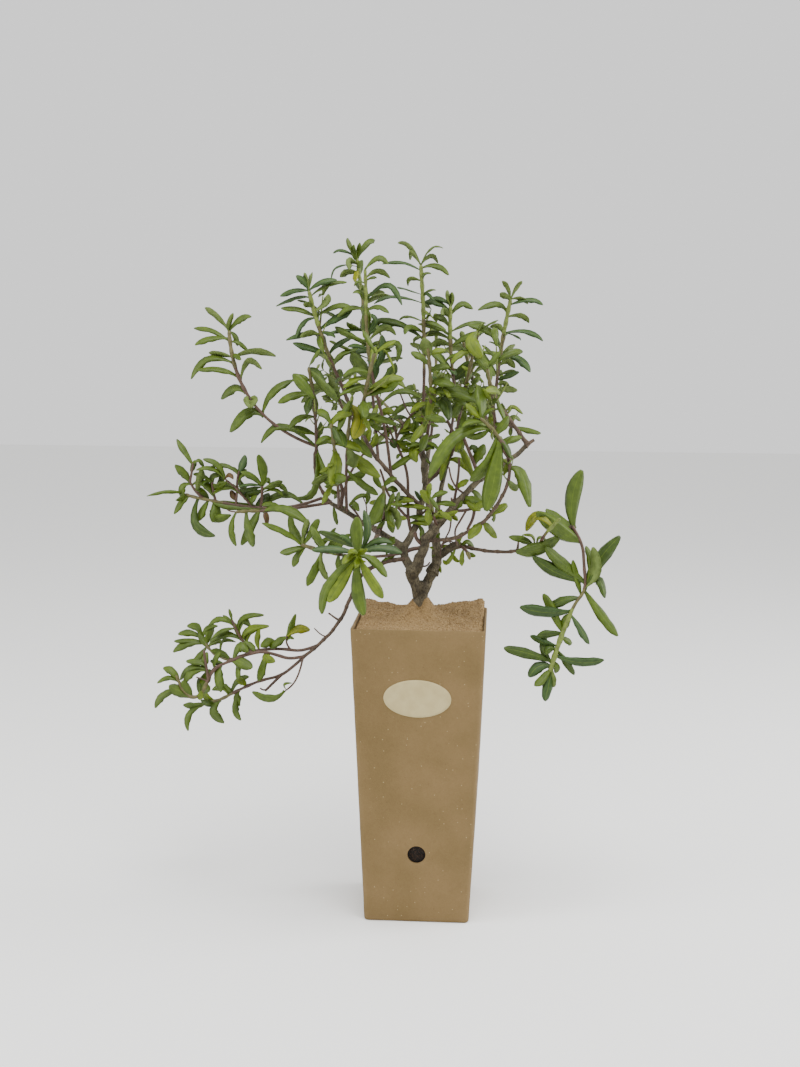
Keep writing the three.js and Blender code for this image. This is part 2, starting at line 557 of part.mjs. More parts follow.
// The side twigs and leaves of a shoot, by the seeded rule
function growth(part, index) {
  const stem = { route: routes[part.name], thick: part.thick, step: STEM_STEP };
  const leafy = stem.route.getLength() * (1 - part.bare);
  const pairs = Math.max(2, Math.round(leafy / part.kind.pitch));
  const twigs = [];
  const leaves = largeLeaves.filter((leaf) => leaf.on === part.name);
  for (let pair = 0; pair <= pairs; pair += 1) {
    const upTo = pair / pairs;
    const place = mix(part.bare, 1, upTo * mix(PAIR_CROWDING, 1, upTo));
    const seed = index * 100 + pair * 7;
    const turn = part.turn + part.kind.pairTurn * (pairs - pair);
    const closing = mix(1, TIP_CLOSING, upTo ** 4);
    leaves.push(...leafPair(stem, place, turn, sizeAt(upTo), closing, part, seed));
  }
  for (let twig = 0; twig < part.twigs; twig += 1) {
    const place = mix(part.bare, 0.85, (twig + 0.4) / part.twigs);
    const seed = index * 100 + 60 + twig;
    const turn = part.turn + 45 + 137 * twig + 90 * chance(seed + 0.4);
    for (const route of sideTwig(part, place, turn, seed)) {
      const branch = { route, thick: TWIG_THICK, step: TWIG_STEP };
      twigs.push(route);
      TWIG_PAIRS.forEach((twigPlace, step) => {
        const pairTurn = 90 * (step + chance(seed + 0.7));
        const pairSeed = seed + 10 * (step + 1);
        leaves.push(...leafPair(branch, twigPlace, pairTurn, TWIG_LEAF, 1, part, pairSeed));
      });
    }
  }
  return { twigs, leaves };
}

// Solids that later ones are cut clear of, where their boxes meet
const fatLimbs = [];

function boxesMeet(one, two) {
  return [0, 1, 2].every((axis) => one.min[axis] <= two.max[axis] && two.min[axis] <= one.max[axis]);
}

function cutClear(solid) {
  const box = solid.boundingBox();
  const near = fatLimbs.filter((limbSpace) => boxesMeet(box, limbSpace.boundingBox()));
  return withoutScraps(near.reduce((left, limbSpace) => left.subtract(limbSpace), solid));
}

// The trunk: both stems fused, flaring to the foot, and cut flat where they stand
function trunkArm(arm, fatten) {
  const route = routes[arm.name];
  const taper = evenTaper(arm.thick);
  const flared = (place) => {
    const height = Math.max(0, route.getPoint(place).z - TRUNK_FOOT.z);
    return taper(place) * (1 + TRUNK_FLARE * Math.exp(-height / TRUNK_FLARE_HEIGHT));
  };
  return limbSolid(route, flared, TRUNK_SIDES, TRUNK_STEP, fatten);
}

function makeTrunk() {
  const below = new THREE.BoxGeometry(TRUNK_CUT, TRUNK_CUT, TRUNK_CUT);
  below.translate(TRUNK_FOOT.x, TRUNK_FOOT.y, TRUNK_FOOT.z - TRUNK_CUT / 2);
  const [left, right] = TRUNK_ARMS.map((arm) => trunkArm(arm, 0));
  fatLimbs.push(...TRUNK_ARMS.map((arm) => trunkArm(arm, CLEAR)));
  return left.add(right).subtract(shapeSolid(below));
}

function makeBough(part) {
  const taper = evenTaper(part.thick);
  const bough = cutClear(limbSolid(routes[part.name], taper, BOUGH_SIDES, BOUGH_STEP));
  fatLimbs.push(limbSolid(routes[part.name], taper, BOUGH_SIDES, BOUGH_STEP, CLEAR));
  return bough;
}

function makeShoot(part, index) {
  const { twigs, leaves } = growth(part, index);
  const taper = evenTaper(part.thick);
  const twigSolid = (route) => limbSolid(route, evenTaper(TWIG_THICK), TWIG_SIDES, TWIG_STEP);
  const stem = limbSolid(routes[part.name], taper, STEM_SIDES, STEM_STEP);
  const grown = [...twigs.map(twigSolid), ...leaves.map(leafSolid)];
  const mass = cutClear(grown.reduce((left, piece) => left.add(piece), stem));
  fatLimbs.push(limbSolid(routes[part.name], taper, STEM_SIDES, STEM_STEP, CLEAR));
  return mass;
}

// A named mesh of a solid in its own finish
function meshOf(name, solid, finish) {
  const { vertProperties, triVerts } = solid.getMesh();
  const geometry = new THREE.BufferGeometry();
  geometry.setAttribute('position', new THREE.BufferAttribute(vertProperties, 3));
  geometry.setIndex(new THREE.BufferAttribute(triVerts, 1));
  geometry.computeVertexNormals();
  const [color, roughness] = FINISHES[finish];
  const mesh = new THREE.Mesh(geometry, new THREE.MeshStandardMaterial({ color, roughness, metalness: 0 }));
  mesh.name = name;
  return mesh;
}

const container = new THREE.Group();
container.add(
  meshOf('pot', makePot(), 'board'),
  meshOf('label', makeLabel(), 'label'),
  meshOf('potting_mix', makePottingMix(), 'mix'),
  meshOf('dressing', makeDressing(), 'dressing'),
);

const plant = new THREE.Group();
plant.add(meshOf('trunk', makeTrunk(), 'trunk'));
BOUGHS.forEach((part) => {
  plant.add(meshOf(part.name, makeBough(part), part.thick[0] > 3.2 ? 'old_bark' : 'young_bark'));
});
SHOOTS.forEach((part, index) => {
  plant.add(meshOf(part.name, makeShoot(part, index + 1), 'leaf'));
});

const rockRose = new THREE.Group();
rockRose.add(container, plant);

export default rockRose;
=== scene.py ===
import math

import bpy
import numpy as np
from mathutils import Matrix, Vector, kdtree, noise


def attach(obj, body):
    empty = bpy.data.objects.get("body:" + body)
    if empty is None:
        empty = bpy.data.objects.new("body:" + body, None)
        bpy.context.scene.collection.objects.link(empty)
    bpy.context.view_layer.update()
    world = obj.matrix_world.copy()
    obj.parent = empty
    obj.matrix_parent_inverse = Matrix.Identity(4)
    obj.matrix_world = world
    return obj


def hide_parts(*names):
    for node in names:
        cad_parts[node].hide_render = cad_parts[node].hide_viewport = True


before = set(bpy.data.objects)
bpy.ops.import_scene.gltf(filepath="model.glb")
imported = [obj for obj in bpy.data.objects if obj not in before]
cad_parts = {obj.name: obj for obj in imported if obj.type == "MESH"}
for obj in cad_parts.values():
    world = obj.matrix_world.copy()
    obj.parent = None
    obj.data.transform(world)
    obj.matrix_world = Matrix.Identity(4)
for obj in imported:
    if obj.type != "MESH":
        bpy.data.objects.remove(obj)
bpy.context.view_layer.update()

# Camera
# It stands about a metre in front of the pot, level with the crown, and looks a little down and to
# the left, as the photograph was taken. All sizes are millimetres, made metres as a mesh is made.
MM = 0.001
CAMERA_PLACE = (50.1, -991.9, 391.1)
CAMERA_TURN = 3.74
CAMERA_DIP = 7.69
CAMERA_ROLL = 0.38
PHOTO_HEIGHT_PIXELS = 1067
FOCAL_PIXELS = 1500
SENSOR = 36

turn, dip, roll = (math.radians(angle) for angle in (CAMERA_TURN, CAMERA_DIP, CAMERA_ROLL))
forward = Vector((-math.sin(turn) * math.cos(dip), math.cos(turn) * math.cos(dip), -math.sin(dip)))
sideways = Vector((math.cos(turn), math.sin(turn), 0))
upward = sideways.cross(forward)
right = sideways * math.cos(roll) + upward * math.sin(roll)
top = upward * math.cos(roll) - sideways * math.sin(roll)
camera = bpy.data.objects.new("camera", bpy.data.cameras.new("camera"))
camera.data.sensor_width = SENSOR
camera.data.lens = SENSOR * FOCAL_PIXELS / PHOTO_HEIGHT_PIXELS
turned = Matrix((right, top, -forward)).transposed().to_4x4()
camera.matrix_world = Matrix.Translation(Vector(CAMERA_PLACE) * MM) @ turned
bpy.context.scene.collection.objects.link(camera)
bpy.context.scene.camera = camera

# Pot
# A tall tapered tree pot of pressed kraft board: four slightly bellied walls with rounded corners,
# a floor, a softened rim, and a punched drain hole low in the front and in the back.
POT_HEIGHT = 200
POT_RIM_WIDTH = 88
POT_FOOT_WIDTH = 70
POT_CORNER = 3.5
BOARD_THICK = 1.6
WALL_BELLY = 0.8
WALL_UNEVEN = 0.12
RIM_UNEVEN = 0.35
RIM_MIDDLE = 0.3
WALL_GRAIN_PACE = 0.09
RIM_GRAIN_PACE = 0.07
CREASE_ANGLE = 50
DRAIN_DIAMETER = 12
DRAIN_HEIGHT = 47.5
SIDE_POINTS = 26
CORNER_POINTS = 7
LEAST_CORNER = 0.8
FOOT_EDGE = [(0, 1.3), (0.3, 0.5), (0.9, 0.1)]
RIM_EDGE = ((-0.2, 0.15), (0, 0.5), (0, 1.1), (-0.2, 1.45))
WALL_START = 2
WALL_SHORTER = 2.6
WALL_LEVELS = 66
INNER_START = 0.8
INNER_LEVELS = 14
KRAFT = ("#6a5630", "#755f3a")
KRAFT_FLECKS = (("#b3a174", 330, 0.14), ("#b3a174", 190, 0.08), ("#493720", 260, 0.1))
FLECKS_LEFT_OUT = 0.7
FLECK_STRENGTH = 0.55


def pot_width(height):
    """The pot's outer width at a height."""
    return POT_FOOT_WIDTH + (POT_RIM_WIDTH - POT_FOOT_WIDTH) * height / POT_HEIGHT


def belly(along_side, height):
    """How far a wall stands out at a part of its side (0 is the middle, 1 the corner)."""
    return WALL_BELLY * math.sin(math.pi * height / POT_HEIGHT) * (1 - along_side**2)


def pot_ring(height, inset):
    """The ring of points round the pot at a height, set in from the outer face."""
    half = pot_width(height) / 2
    corner = max(POT_CORNER - inset, LEAST_CORNER)
    straight = half - max(POT_CORNER, inset + LEAST_CORNER)
    ring = []
    for quarter in range(4):
        turned = math.pi / 2 * quarter
        ahead = np.array((math.cos(turned), math.sin(turned)))
        left = np.array((-ahead[1], ahead[0]))
        for step in range(SIDE_POINTS):
            aside = -1 + 2 * step / SIDE_POINTS
            stand_out = half - inset + belly(aside, height)
            ring.append(ahead * stand_out + left * straight * aside)
        for step in range(CORNER_POINTS):
            swing = math.pi / 2 * step / CORNER_POINTS
            centre = (ahead + left) * straight
            ring.append(centre + corner * (ahead * math.cos(swing) + left * math.sin(swing)))
    return np.column_stack((ring, np.full(len(ring), height)))


def tube_faces(rings, sides):
    """The faces between rings of points, and a cap on the first and the last."""
    faces = []
    for low in range(0, (rings - 1) * sides, sides):
        for side in range(sides):
            after = (side + 1) % sides
            faces.append((low + side, low + after, low + sides + after, low + sides + side))
    last = (rings - 1) * sides
    faces.append(tuple(reversed(range(sides))))
    faces.append(tuple(range(last, last + sides)))
    return faces


def mesh_of(name, points, faces, finishes, which=None, smooth=True):
    """A mesh of points in millimetres, with a finish for each face."""
    mesh = bpy.data.meshes.new(name)
    mesh.from_pydata((np.asarray(points) * MM).tolist(), [], faces)
    for finish in finishes:
        mesh.materials.append(finish)
    if which is not None:
        mesh.polygons.foreach_set("material_index", np.asarray(which, np.int32))
    if smooth:
        mesh.shade_smooth()
    mesh.update()
    return mesh


def place_piece(name, mesh):
    """A new object for a finished mesh."""
    made = bpy.data.objects.new(name, mesh)
    bpy.context.scene.collection.objects.link(made)
    return made


def paint(code):
    """A colour code as the numbers that a shader takes."""
    parts = (int(code[start : start + 2], 16) / 255 for start in (1, 3, 5))
    return [part / 12.92 if part < 0.04045 else ((part + 0.055) / 1.055) ** 2.4 for part in parts] + [1]


def add(tree, kind, inputs=(), **settings):
    """Adds a node, with its settings, and fills its inputs with values or with other nodes' outputs."""
    made = tree.nodes.new(kind)
    for setting, value in settings.items():
        setattr(made, setting, value)
    for socket, value in dict(inputs).items():
        if isinstance(value, bpy.types.NodeSocket):
            tree.links.new(value, made.inputs[socket])
        else:
            made.inputs[socket].default_value = value
    return made


def new_finish(name, roughness, colour="#808080"):
    """A finish with its shader, and the place on the object that its patterns read."""
    finish = bpy.data.materials.new(name)
    finish.use_nodes = True
    shader = finish.node_tree.nodes["Principled BSDF"]
    shader.inputs["Roughness"].default_value = roughness
    shader.inputs["Base Color"].default_value = paint(colour)
    place = add(finish.node_tree, "ShaderNodeTexCoord").outputs["Object"]
    return finish, finish.node_tree, shader, place


def ramp(tree, factor, stops):
    """Colours dealt out along a factor."""
    made = add(tree, "ShaderNodeValToRGB", {"Fac": factor})
    elements = made.color_ramp.elements
    while len(elements) < len(stops):
        elements.new(0.5)
    for element, (position, colour) in zip(elements, sorted(stops.items())):
        element.position = position
        element.color = paint(colour)
    return made.outputs["Color"]


def blend_colours(tree, factor, first, second, mode="MIX"):
    """One colour laid over another by a factor."""
    made = add(tree, "ShaderNodeMix", data_type="RGBA", blend_type=mode)
    for socket, value in ((0, factor), (6, first), (7, second)):
        if isinstance(value, bpy.types.NodeSocket):
            tree.links.new(value, made.inputs[socket])
        else:
            made.inputs[socket].default_value = value
    return made.outputs[2]


def raise_bumps(tree, shader, height, depth):
    """A relief of this depth, in millimetres, from a height between 0 and 1."""
    bump = add(tree, "ShaderNodeBump", {"Height": height, "Distance": depth * MM, "Strength": 1})
    tree.links.new(bump.outputs["Normal"], shader.inputs["Normal"])


def kraft_finish():
    """Pressed board: cloudy brown pulp with short fibres and pale and dark flecks."""
    finish, tree, shader, place = new_finish("kraft_board", 0.86)
    clouds = add(tree, "ShaderNodeTexNoise", {"Vector": place, "Scale": 34, "Detail": 5})
    colour = ramp(tree, clouds.outputs["Fac"], {0.36: KRAFT[0], 0.64: KRAFT[1]})
    values = {"Vector": place, "Scale": 620, "Detail": 3, "Distortion": 1.5}
    fibres = add(tree, "ShaderNodeTexNoise", values)
    shade = ramp(tree, fibres.outputs["Fac"], {0.35: "#e9e4dc", 0.65: "#ffffff"})
    colour = blend_colours(tree, 0.55, colour, shade, "MULTIPLY")
    for fleck, cells, size in KRAFT_FLECKS:
        spots = add(tree, "ShaderNodeTexVoronoi", {"Vector": place, "Scale": cells})
        near = add(tree, "ShaderNodeMapRange", {"Value": spots.outputs["Distance"], 1: size, 2: size * 0.5})
        rare = add(tree, "ShaderNodeSeparateColor", {"Color": spots.outputs["Color"]})
        rare = {0: rare.outputs[0], 1: FLECKS_LEFT_OUT}
        chosen = add(tree, "ShaderNodeMath", rare, operation="GREATER_THAN")
        amount = {0: near.outputs[0], 1: chosen.outputs[0]}
        amount = add(tree, "ShaderNodeMath", amount, operation="MULTIPLY")
        soft = {0: amount.outputs[0], 1: FLECK_STRENGTH}
        soft = add(tree, "ShaderNodeMath", soft, operation="MULTIPLY")
        colour = blend_colours(tree, soft.outputs[0], colour, paint(fleck))
    tree.links.new(colour, shader.inputs["Base Color"])
    raise_bumps(tree, shader, fibres.outputs["Fac"], 0.12)
    return finish


def pot_mesh():
    """Outer wall, softened rim, inner wall and floor, through one run of rings."""
    wall = POT_HEIGHT - WALL_SHORTER
    outer = [(WALL_START + wall * step / WALL_LEVELS, 0) for step in range(WALL_LEVELS + 1)]
    rim = [(POT_HEIGHT + rise, inset) for rise, inset in RIM_EDGE]
    inner_heights = np.linspace(POT_HEIGHT - INNER_START, BOARD_THICK, INNER_LEVELS)
    inner = [(height, BOARD_THICK) for height in inner_heights]
    rings = []
    for height, inset in FOOT_EDGE + outer + rim + inner:
        ring = pot_ring(height, inset)
        for point in ring:
            grain = noise.noise(Vector(point) * WALL_GRAIN_PACE) * WALL_UNEVEN
            point[:2] *= 1 + grain / (pot_width(height) / 2)
            if height > POT_HEIGHT - 1:
                spot = Vector((point[0] * RIM_GRAIN_PACE, point[1] * RIM_GRAIN_PACE, 5))
                point[2] += RIM_UNEVEN * (noise.noise(spot) - RIM_MIDDLE)
        rings.append(ring)
    sides = len(rings[0])
    return mesh_of("pot_walls", np.vstack(rings), tube_faces(len(rings), sides), [kraft_finish()])


def punch(sides=40):
    """The round punch that cuts both drain holes, front to back."""
    swings = 2 * np.pi * np.arange(sides) / sides
    hoop = np.column_stack((np.cos(swings), np.zeros(sides), np.sin(swings))) * DRAIN_DIAMETER / 2
    hoop[:, 2] += DRAIN_HEIGHT
    ends = [hoop + (0, reach, 0) for reach in (POT_RIM_WIDTH, -POT_RIM_WIDTH)]
    return mesh_of("punch", np.vstack(ends), tube_faces(2, sides), [])


pot = place_piece("pot_walls", pot_mesh())
cutter = place_piece("punch", punch())
drains = pot.modifiers.new("drains", "BOOLEAN")
drains.object = cutter
drains.solver = "EXACT"
cut = bpy.data.meshes.new_from_object(pot.evaluated_get(bpy.context.evaluated_depsgraph_get()))
pot.modifiers.remove(drains)
bpy.data.objects.remove(cutter)
pot.data = cut
pot.data.set_sharp_from_angle(angle=math.radians(CREASE_ANGLE))
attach(pot, "root")
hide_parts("pot")

# Label
# A bare oval label of cream paper, stuck to the sloping front wall and following its belly. Its
# edge is turned down to the board.
LABEL_WIDTH = 44
LABEL_HEIGHT = 25
LABEL_CENTRE_HEIGHT = 154.5
LABEL_TILT = 1
LABEL_STAND = 0.28
LABEL_BACK = 0.04
LABEL_LIP = 1.004
LABEL_PAPER = ("#a7986b", "#afa175")


def label_finish():
    """Matt paper with faint fibres."""
    finish, tree, shader, place = new_finish("label_paper", 0.7)
    clouds = add(tree, "ShaderNodeTexNoise", {"Vector": place, "Scale": 160, "Detail": 4})
    colour = ramp(tree, clouds.outputs["Fac"], {0.35: LABEL_PAPER[0], 0.65: LABEL_PAPER[1]})
    tree.links.new(colour, shader.inputs["Base Color"])
    fibres = add(tree, "ShaderNodeTexNoise", {"Vector": place, "Scale": 1400, "Detail": 2})
    raise_bumps(tree, shader, fibres.outputs["Fac"], 0.03)
    return finish


def label_mesh(sides=72, hoops=9):
    """Hoops from the middle of the oval to its edge, the edge turned down, and a flat back."""
    spans = [(hoop / hoops, LABEL_STAND) for hoop in range(1, hoops + 1)]
    spans += [(LABEL_LIP, LABEL_STAND * 0.6), (LABEL_LIP, LABEL_BACK), (0.5, LABEL_BACK)]
    points = []
    for span, stand in spans:
        for side in range(sides):
            swing = 2 * math.pi * side / sides
            across = span * LABEL_WIDTH / 2 * math.cos(swing)
            rise = span * LABEL_HEIGHT / 2 * math.sin(swing)
            tilt = math.radians(-LABEL_TILT)
            x = across * math.cos(tilt) - rise * math.sin(tilt)
            z = LABEL_CENTRE_HEIGHT + across * math.sin(tilt) + rise * math.cos(tilt)
            wall = pot_width(z) / 2 + belly(x / (pot_width(z) / 2), z)
            points.append((x, -wall - stand, z))
    return mesh_of("paper_label", points, tube_faces(len(spans), sides), [label_finish()])


label = place_piece("paper_label", label_mesh())
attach(label, "root")
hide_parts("label")

# Potting mix
# Dark damp mix of bark fines and fibre that fills the pot. It shows only in the two drain holes,
# where its crumbs press against the board.
MIX_COLOURS = ("#0f0a06", "#1f150c")
MIX_INSET = BOARD_THICK + 0.3
DISC_STAND = 0.1
DISC_MARGIN = 0.9
CRUMB_SIZE = (0.35, 1.1)
CRUMB_DENSITY = 1.9
GRAIN_SHAPES = ((0.6, 0.45, 0.3), (1.4, 1, 0.8))
GRAIN_TURNS = ((0, 0, 0), (6.28, 6.28, 6.28))


def crumbly_finish(name, colours, grain, depth):
    """Crumbly stuff: two earthy colours in fine grains."""
    finish, tree, shader, place = new_finish(name, 0.95)
    values = {"Vector": place, "Scale": grain, "Detail": 5, "Roughness": 0.7}
    grains = add(tree, "ShaderNodeTexNoise", values)
    colour = ramp(tree, grains.outputs["Fac"], {0.35: colours[0], 0.65: colours[1]})
    tree.links.new(colour, shader.inputs["Base Color"])
    raise_bumps(tree, shader, grains.outputs["Fac"], depth)
    return finish


def new_tree(name, **values):
    """A tree of nodes that takes a shape and named values, which have these defaults."""
    tree = bpy.data.node_groups.new(name, "GeometryNodeTree")
    tree.interface.new_socket("Geometry", in_out="INPUT", socket_type="NodeSocketGeometry")
    for label_text, value in values.items():
        kind = "NodeSocketInt" if isinstance(value, int) else "NodeSocketFloat"
        socket = tree.interface.new_socket(label_text, in_out="INPUT", socket_type=kind)
        socket.default_value = value
    tree.interface.new_socket("Geometry", in_out="OUTPUT", socket_type="NodeSocketGeometry")
    return tree, add(tree, "NodeGroupInput").outputs


def finish_by_kind(tree, shape, finishes):
    """Ends a tree: makes its instances real and deals the finishes out by the attribute kind."""
    shape = add(tree, "GeometryNodeRealizeInstances", {"Geometry": shape}).outputs[0]
    kind = add(tree, "GeometryNodeInputNamedAttribute", {"Name": "kind"}).outputs[0]
    for number, finish in enumerate(finishes):
        above = {0: kind, 1: number - 0.5}
        chosen = add(tree, "FunctionNodeCompare", above, operation="GREATER_THAN").outputs[0]
        values = {"Geometry": shape, "Selection": chosen, "Material": finish}
        shape = add(tree, "GeometryNodeSetMaterial", values).outputs[0]
    add(tree, "NodeGroupOutput", {"Geometry": shape})


def any_between(tree, span, seed):
    """A vector picked by chance for each instance."""
    values = {0: span[0], 1: span[1], 8: seed}
    return add(tree, "FunctionNodeRandomValue", values, data_type="FLOAT_VECTOR").outputs[0]


def grain_tree(name, finishes):
    """Scatters rough grains over a surface, each turned and sized by chance, in several finishes."""
    tree, given = new_tree(name, Density=1.0, Smallest=0.5, Largest=1.0, Seed=1)
    values = {"Mesh": given["Geometry"], "Density": given["Density"], "Seed": given["Seed"]}
    spread = add(tree, "GeometryNodeDistributePointsOnFaces", values)
    size = add(tree, "FunctionNodeRandomValue", {2: given["Smallest"], 3: given["Largest"], 8: 11})
    values = {0: any_between(tree, GRAIN_SHAPES, 12), "Scale": size.outputs[1]}
    scale = add(tree, "ShaderNodeVectorMath", values, operation="SCALE")
    ball = add(tree, "GeometryNodeMeshIcoSphere", {"Radius": MM / 2, "Subdivisions": 1})
    values = {
        "Points": spread.outputs["Points"],
        "Instance": ball.outputs["Mesh"],
        "Rotation": any_between(tree, GRAIN_TURNS, 13),
        "Scale": scale.outputs[0],
    }
    grains = add(tree, "GeometryNodeInstanceOnPoints", values)
    kinds = {4: 0, 5: len(finishes) - 1, 8: 14}
    kinds = add(tree, "FunctionNodeRandomValue", kinds, data_type="INT").outputs[2]
    values = {"Geometry": grains.outputs[0], "Name": "kind", "Value": kinds}
    settings = {"data_type": "INT", "domain": "INSTANCE"}
    stored = add(tree, "GeometryNodeStoreNamedAttribute", values, **settings)
    finish_by_kind(tree, stored.outputs[0], finishes)
    return tree


def grown(name, source, tree, values, after=None):
    """The plain mesh that a tree of nodes makes of a source mesh, as a new piece."""
    carrier = place_piece(name + "_source", source)
    nodes = carrier.modifiers.new("nodes", "NODES")
    nodes.node_group = tree
    for item in tree.interface.items_tree:
        if item.name in values:
            nodes[item.identifier] = values[item.name]
    if after:
        after(carrier)
    grown_shape = carrier.evaluated_get(bpy.context.evaluated_depsgraph_get())
    mesh = bpy.data.meshes.new_from_object(grown_shape)
    mesh.name = name
    bpy.data.objects.remove(carrier)
    return place_piece(name, mesh)


def drain_discs(sides=24):
    """A disc just proud of the mix in each drain hole, for crumbs to lie on."""
    stand = pot_width(DRAIN_HEIGHT) / 2 - MIX_INSET + DISC_STAND
    reach = DRAIN_DIAMETER / 2 - DISC_MARGIN
    points, faces = [], []
    for front in (-1, 1):
        first = len(points)
        for side in range(sides):
            swing = -front * 2 * math.pi * side / sides
            height = DRAIN_HEIGHT + reach * math.sin(swing)
            points.append((reach * math.cos(swing), front * stand, height))
        faces.append(tuple(range(first, first + sides)))
    return mesh_of("drain_discs", points, faces, [])


mix_finish = crumbly_finish("damp_mix", MIX_COLOURS, 420, 0.5)
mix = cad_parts["potting_mix"]
mix.data.materials.clear()
mix.data.materials.append(mix_finish)
crumb_finishes = [mix_finish, crumbly_finish("bark_fines", ("#2a1c12", "#453120"), 500, 0.3)]
crumbs = grown(
    "drain_crumbs",
    drain_discs(),
    grain_tree("crumb_grains", crumb_finishes),
    {"Density": CRUMB_DENSITY / MM**2, "Smallest": CRUMB_SIZE[0], "Largest": CRUMB_SIZE[1], "Seed": 3},
)
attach(crumbs, "root")

# Dressing
# A coarse sandy dressing fills the mouth of the pot. It is heaped round the stem and in the back
# corners, and has sunk away from the rim in places, where a dark gap shows.
MIX_TOP = 188
DRESSING_EDGE = 198.8
HEAPS = (
    (-0.5, 1.5, 14, 11.5),
    (-0.5, 1.5, 2.5, 24),
    (-1.2, -4.8, -5, 3),
    (27, 38, 2, 15),
    (24, -6, 1.2, 7),
    (40, -12, 1, 7),
)
BACK_RISE = 1.5
CORNER_RISE = 6
RIPPLE = 0.7
RIPPLE_PACE = (0.31, 0.27)
TRUNK_FOOT = np.array((-1.0, 0.0, 207.0))
BED_CELLS = 150
BED_INSET = BOARD_THICK + 0.15
BED_FOOT = 0.3
GAPS = {"left": 2.4, "right": 2.0}
GAP_WIDTH = 1.1
FRONT_GAPS = ((-41.5, -33.5), (-5.5, 8.5))
FRONT_GAP_DEPTH = 1.5
FRONT_GAP_WIDTH = 1.2
FRONT_GAP_ENDS = 8
RELIEF = ((0.14, 1.0), (0.4, 0.5), (0.95, 0.34))
DRESSING_COLOURS = ("#735a36", "#92784e")
GRAIN_COLOURS = (("#93784d", "#a2895e"), ("#7e643e", "#8c724a"), ("#685130", "#7a603c"))
GRAIN_SIZE = (0.35, 1.15)
GRAIN_DENSITY = 0.85


def dressing_height(x, y):
    """The surface of the dressing: heaps and a dip, a higher back with its corners, small ripples."""
    half = POT_RIM_WIDTH / 2
    height = DRESSING_EDGE
    for heap_x, heap_y, rise, spread in HEAPS:
        height += rise * math.exp(-((math.hypot(x - heap_x, y - heap_y) / spread) ** 2))
    backward = min(max(y / half, 0), 1)
    calm = 1 - min(1, max(abs(x), abs(y)) / half)
    ripple = RIPPLE * calm * math.sin(RIPPLE_PACE[0] * x + 1) * math.cos(RIPPLE_PACE[1] * y)
    return height + backward * (BACK_RISE + CORNER_RISE * (x / half) ** 2) + ripple


def gap_depth(x, y, half):
    """How far the dressing has sunk beside the rim."""
    beside = {"left": half + x, "right": half - x}
    depth = sum(most * math.exp(-((beside[side] / GAP_WIDTH) ** 2)) for side, most in GAPS.items())
    for start, end in FRONT_GAPS:
        inside = min(max((x - start) * (end - x) / FRONT_GAP_ENDS, 0), 1)
        depth += FRONT_GAP_DEPTH * inside * math.exp(-(((half + y) / FRONT_GAP_WIDTH) ** 2))
    return depth


def dressing_mesh():
    """A fine grid of the surface, with its sides carried down to the mix."""
    half = pot_width(DRESSING_EDGE) / 2 - BED_INSET
    spots = np.linspace(-half, half, BED_CELLS + 1)
    points = []
    for y in spots:
        for x in spots:
            spot = Vector((x, y, 0))
            rough = sum(depth * noise.noise(spot * fine) for fine, depth in RELIEF)
            points.append((x, y, dressing_height(x, y) + rough - gap_depth(x, y, half)))
    row = BED_CELLS + 1
    faces = []
    for low in range(0, BED_CELLS * row, row):
        for corner in range(low, low + BED_CELLS):
            faces.append((corner, corner + 1, corner + row + 1, corner + row))
    border = list(range(row)) + [row * at + BED_CELLS for at in range(1, row)]
    border += list(range(row * row - 2, row * BED_CELLS - 1, -1))
    border += [row * at for at in range(BED_CELLS - 1, 0, -1)]
    low_half = pot_width(MIX_TOP) / 2 - BED_INSET
    first = len(points)
    for at in border:
        x, y = (value * low_half / half for value in points[at][:2])
        points.append((x, y, MIX_TOP + BED_FOOT))
    for step, at in enumerate(border):
        after = (step + 1) % len(border)
        faces.append((at, first + step, first + after, border[after]))
    faces.append(tuple(reversed(range(first, first + len(border)))))
    return points, faces, row * row


bed_points, bed_faces, surface_points = dressing_mesh()
bed_finish = crumbly_finish("sandy_dressing", DRESSING_COLOURS, 900, 0.5)
bed = place_piece("dressing_bed", mesh_of("dressing_bed", bed_points, bed_faces, [bed_finish]))
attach(bed, "root")
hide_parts("dressing")

surface_faces = [face for face in bed_faces if max(face) < surface_points]
grain_finishes = []
for at, pair in enumerate(GRAIN_COLOURS):
    grain_finishes.append(crumbly_finish(f"sand_grain_{at}", pair, 1500, 0.2))
grains = grown(
    "dressing_grains",
    mesh_of("dressing_surface", bed_points[:surface_points], surface_faces, []),
    grain_tree("sand_grains", grain_finishes),
    {"Density": GRAIN_DENSITY / MM**2, "Smallest": GRAIN_SIZE[0], "Largest": GRAIN_SIZE[1], "Seed": 7},
)
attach(grains, "root")

# Trunk and old boughs
# Two stems grown together from one narrow foot, and the thick boughs that fork from them. The wood
# is one skin over all of them, with grey-brown bark in ridges that run along each limb.
TRUNK_SUNK = 6
TRUNK_WAIST = {"trunk_left": 0.8, "trunk_right": 0.8, "trunk_core": 0}
TRUNK_WAIST_HEIGHT = 11
OLD_WOOD = 3.2
SKIN_CELL = 0.42
OLD_STEP = 1.5
BARK_WANDER = 0.16
WANDER_SEED = 4
KINK_PACE = 0.11
KINK_SHIFT = 7.3
LUMPS = (0.1, 0.2)
BARK_RIDGE = 0.1
LIMB_SHIFT = 40
RIDGES_ROUND = 1.5
RIDGES_ALONG = 0.12
RIDGE_SHARPNESS = 2.2
RIDGE_MIDDLE = 0.45
SCURF = (1.4, 0.35)
FORK_COLLAR = (0.3, 3.5)
RIDGE_GIRTH = (1.2, 0.35)
ROUTE_PARTS = 201
BARK_COLOURS = {0.3: "#292216", 0.45: "#463e2c", 0.62: "#675e48", 0.8: "#82785f"}
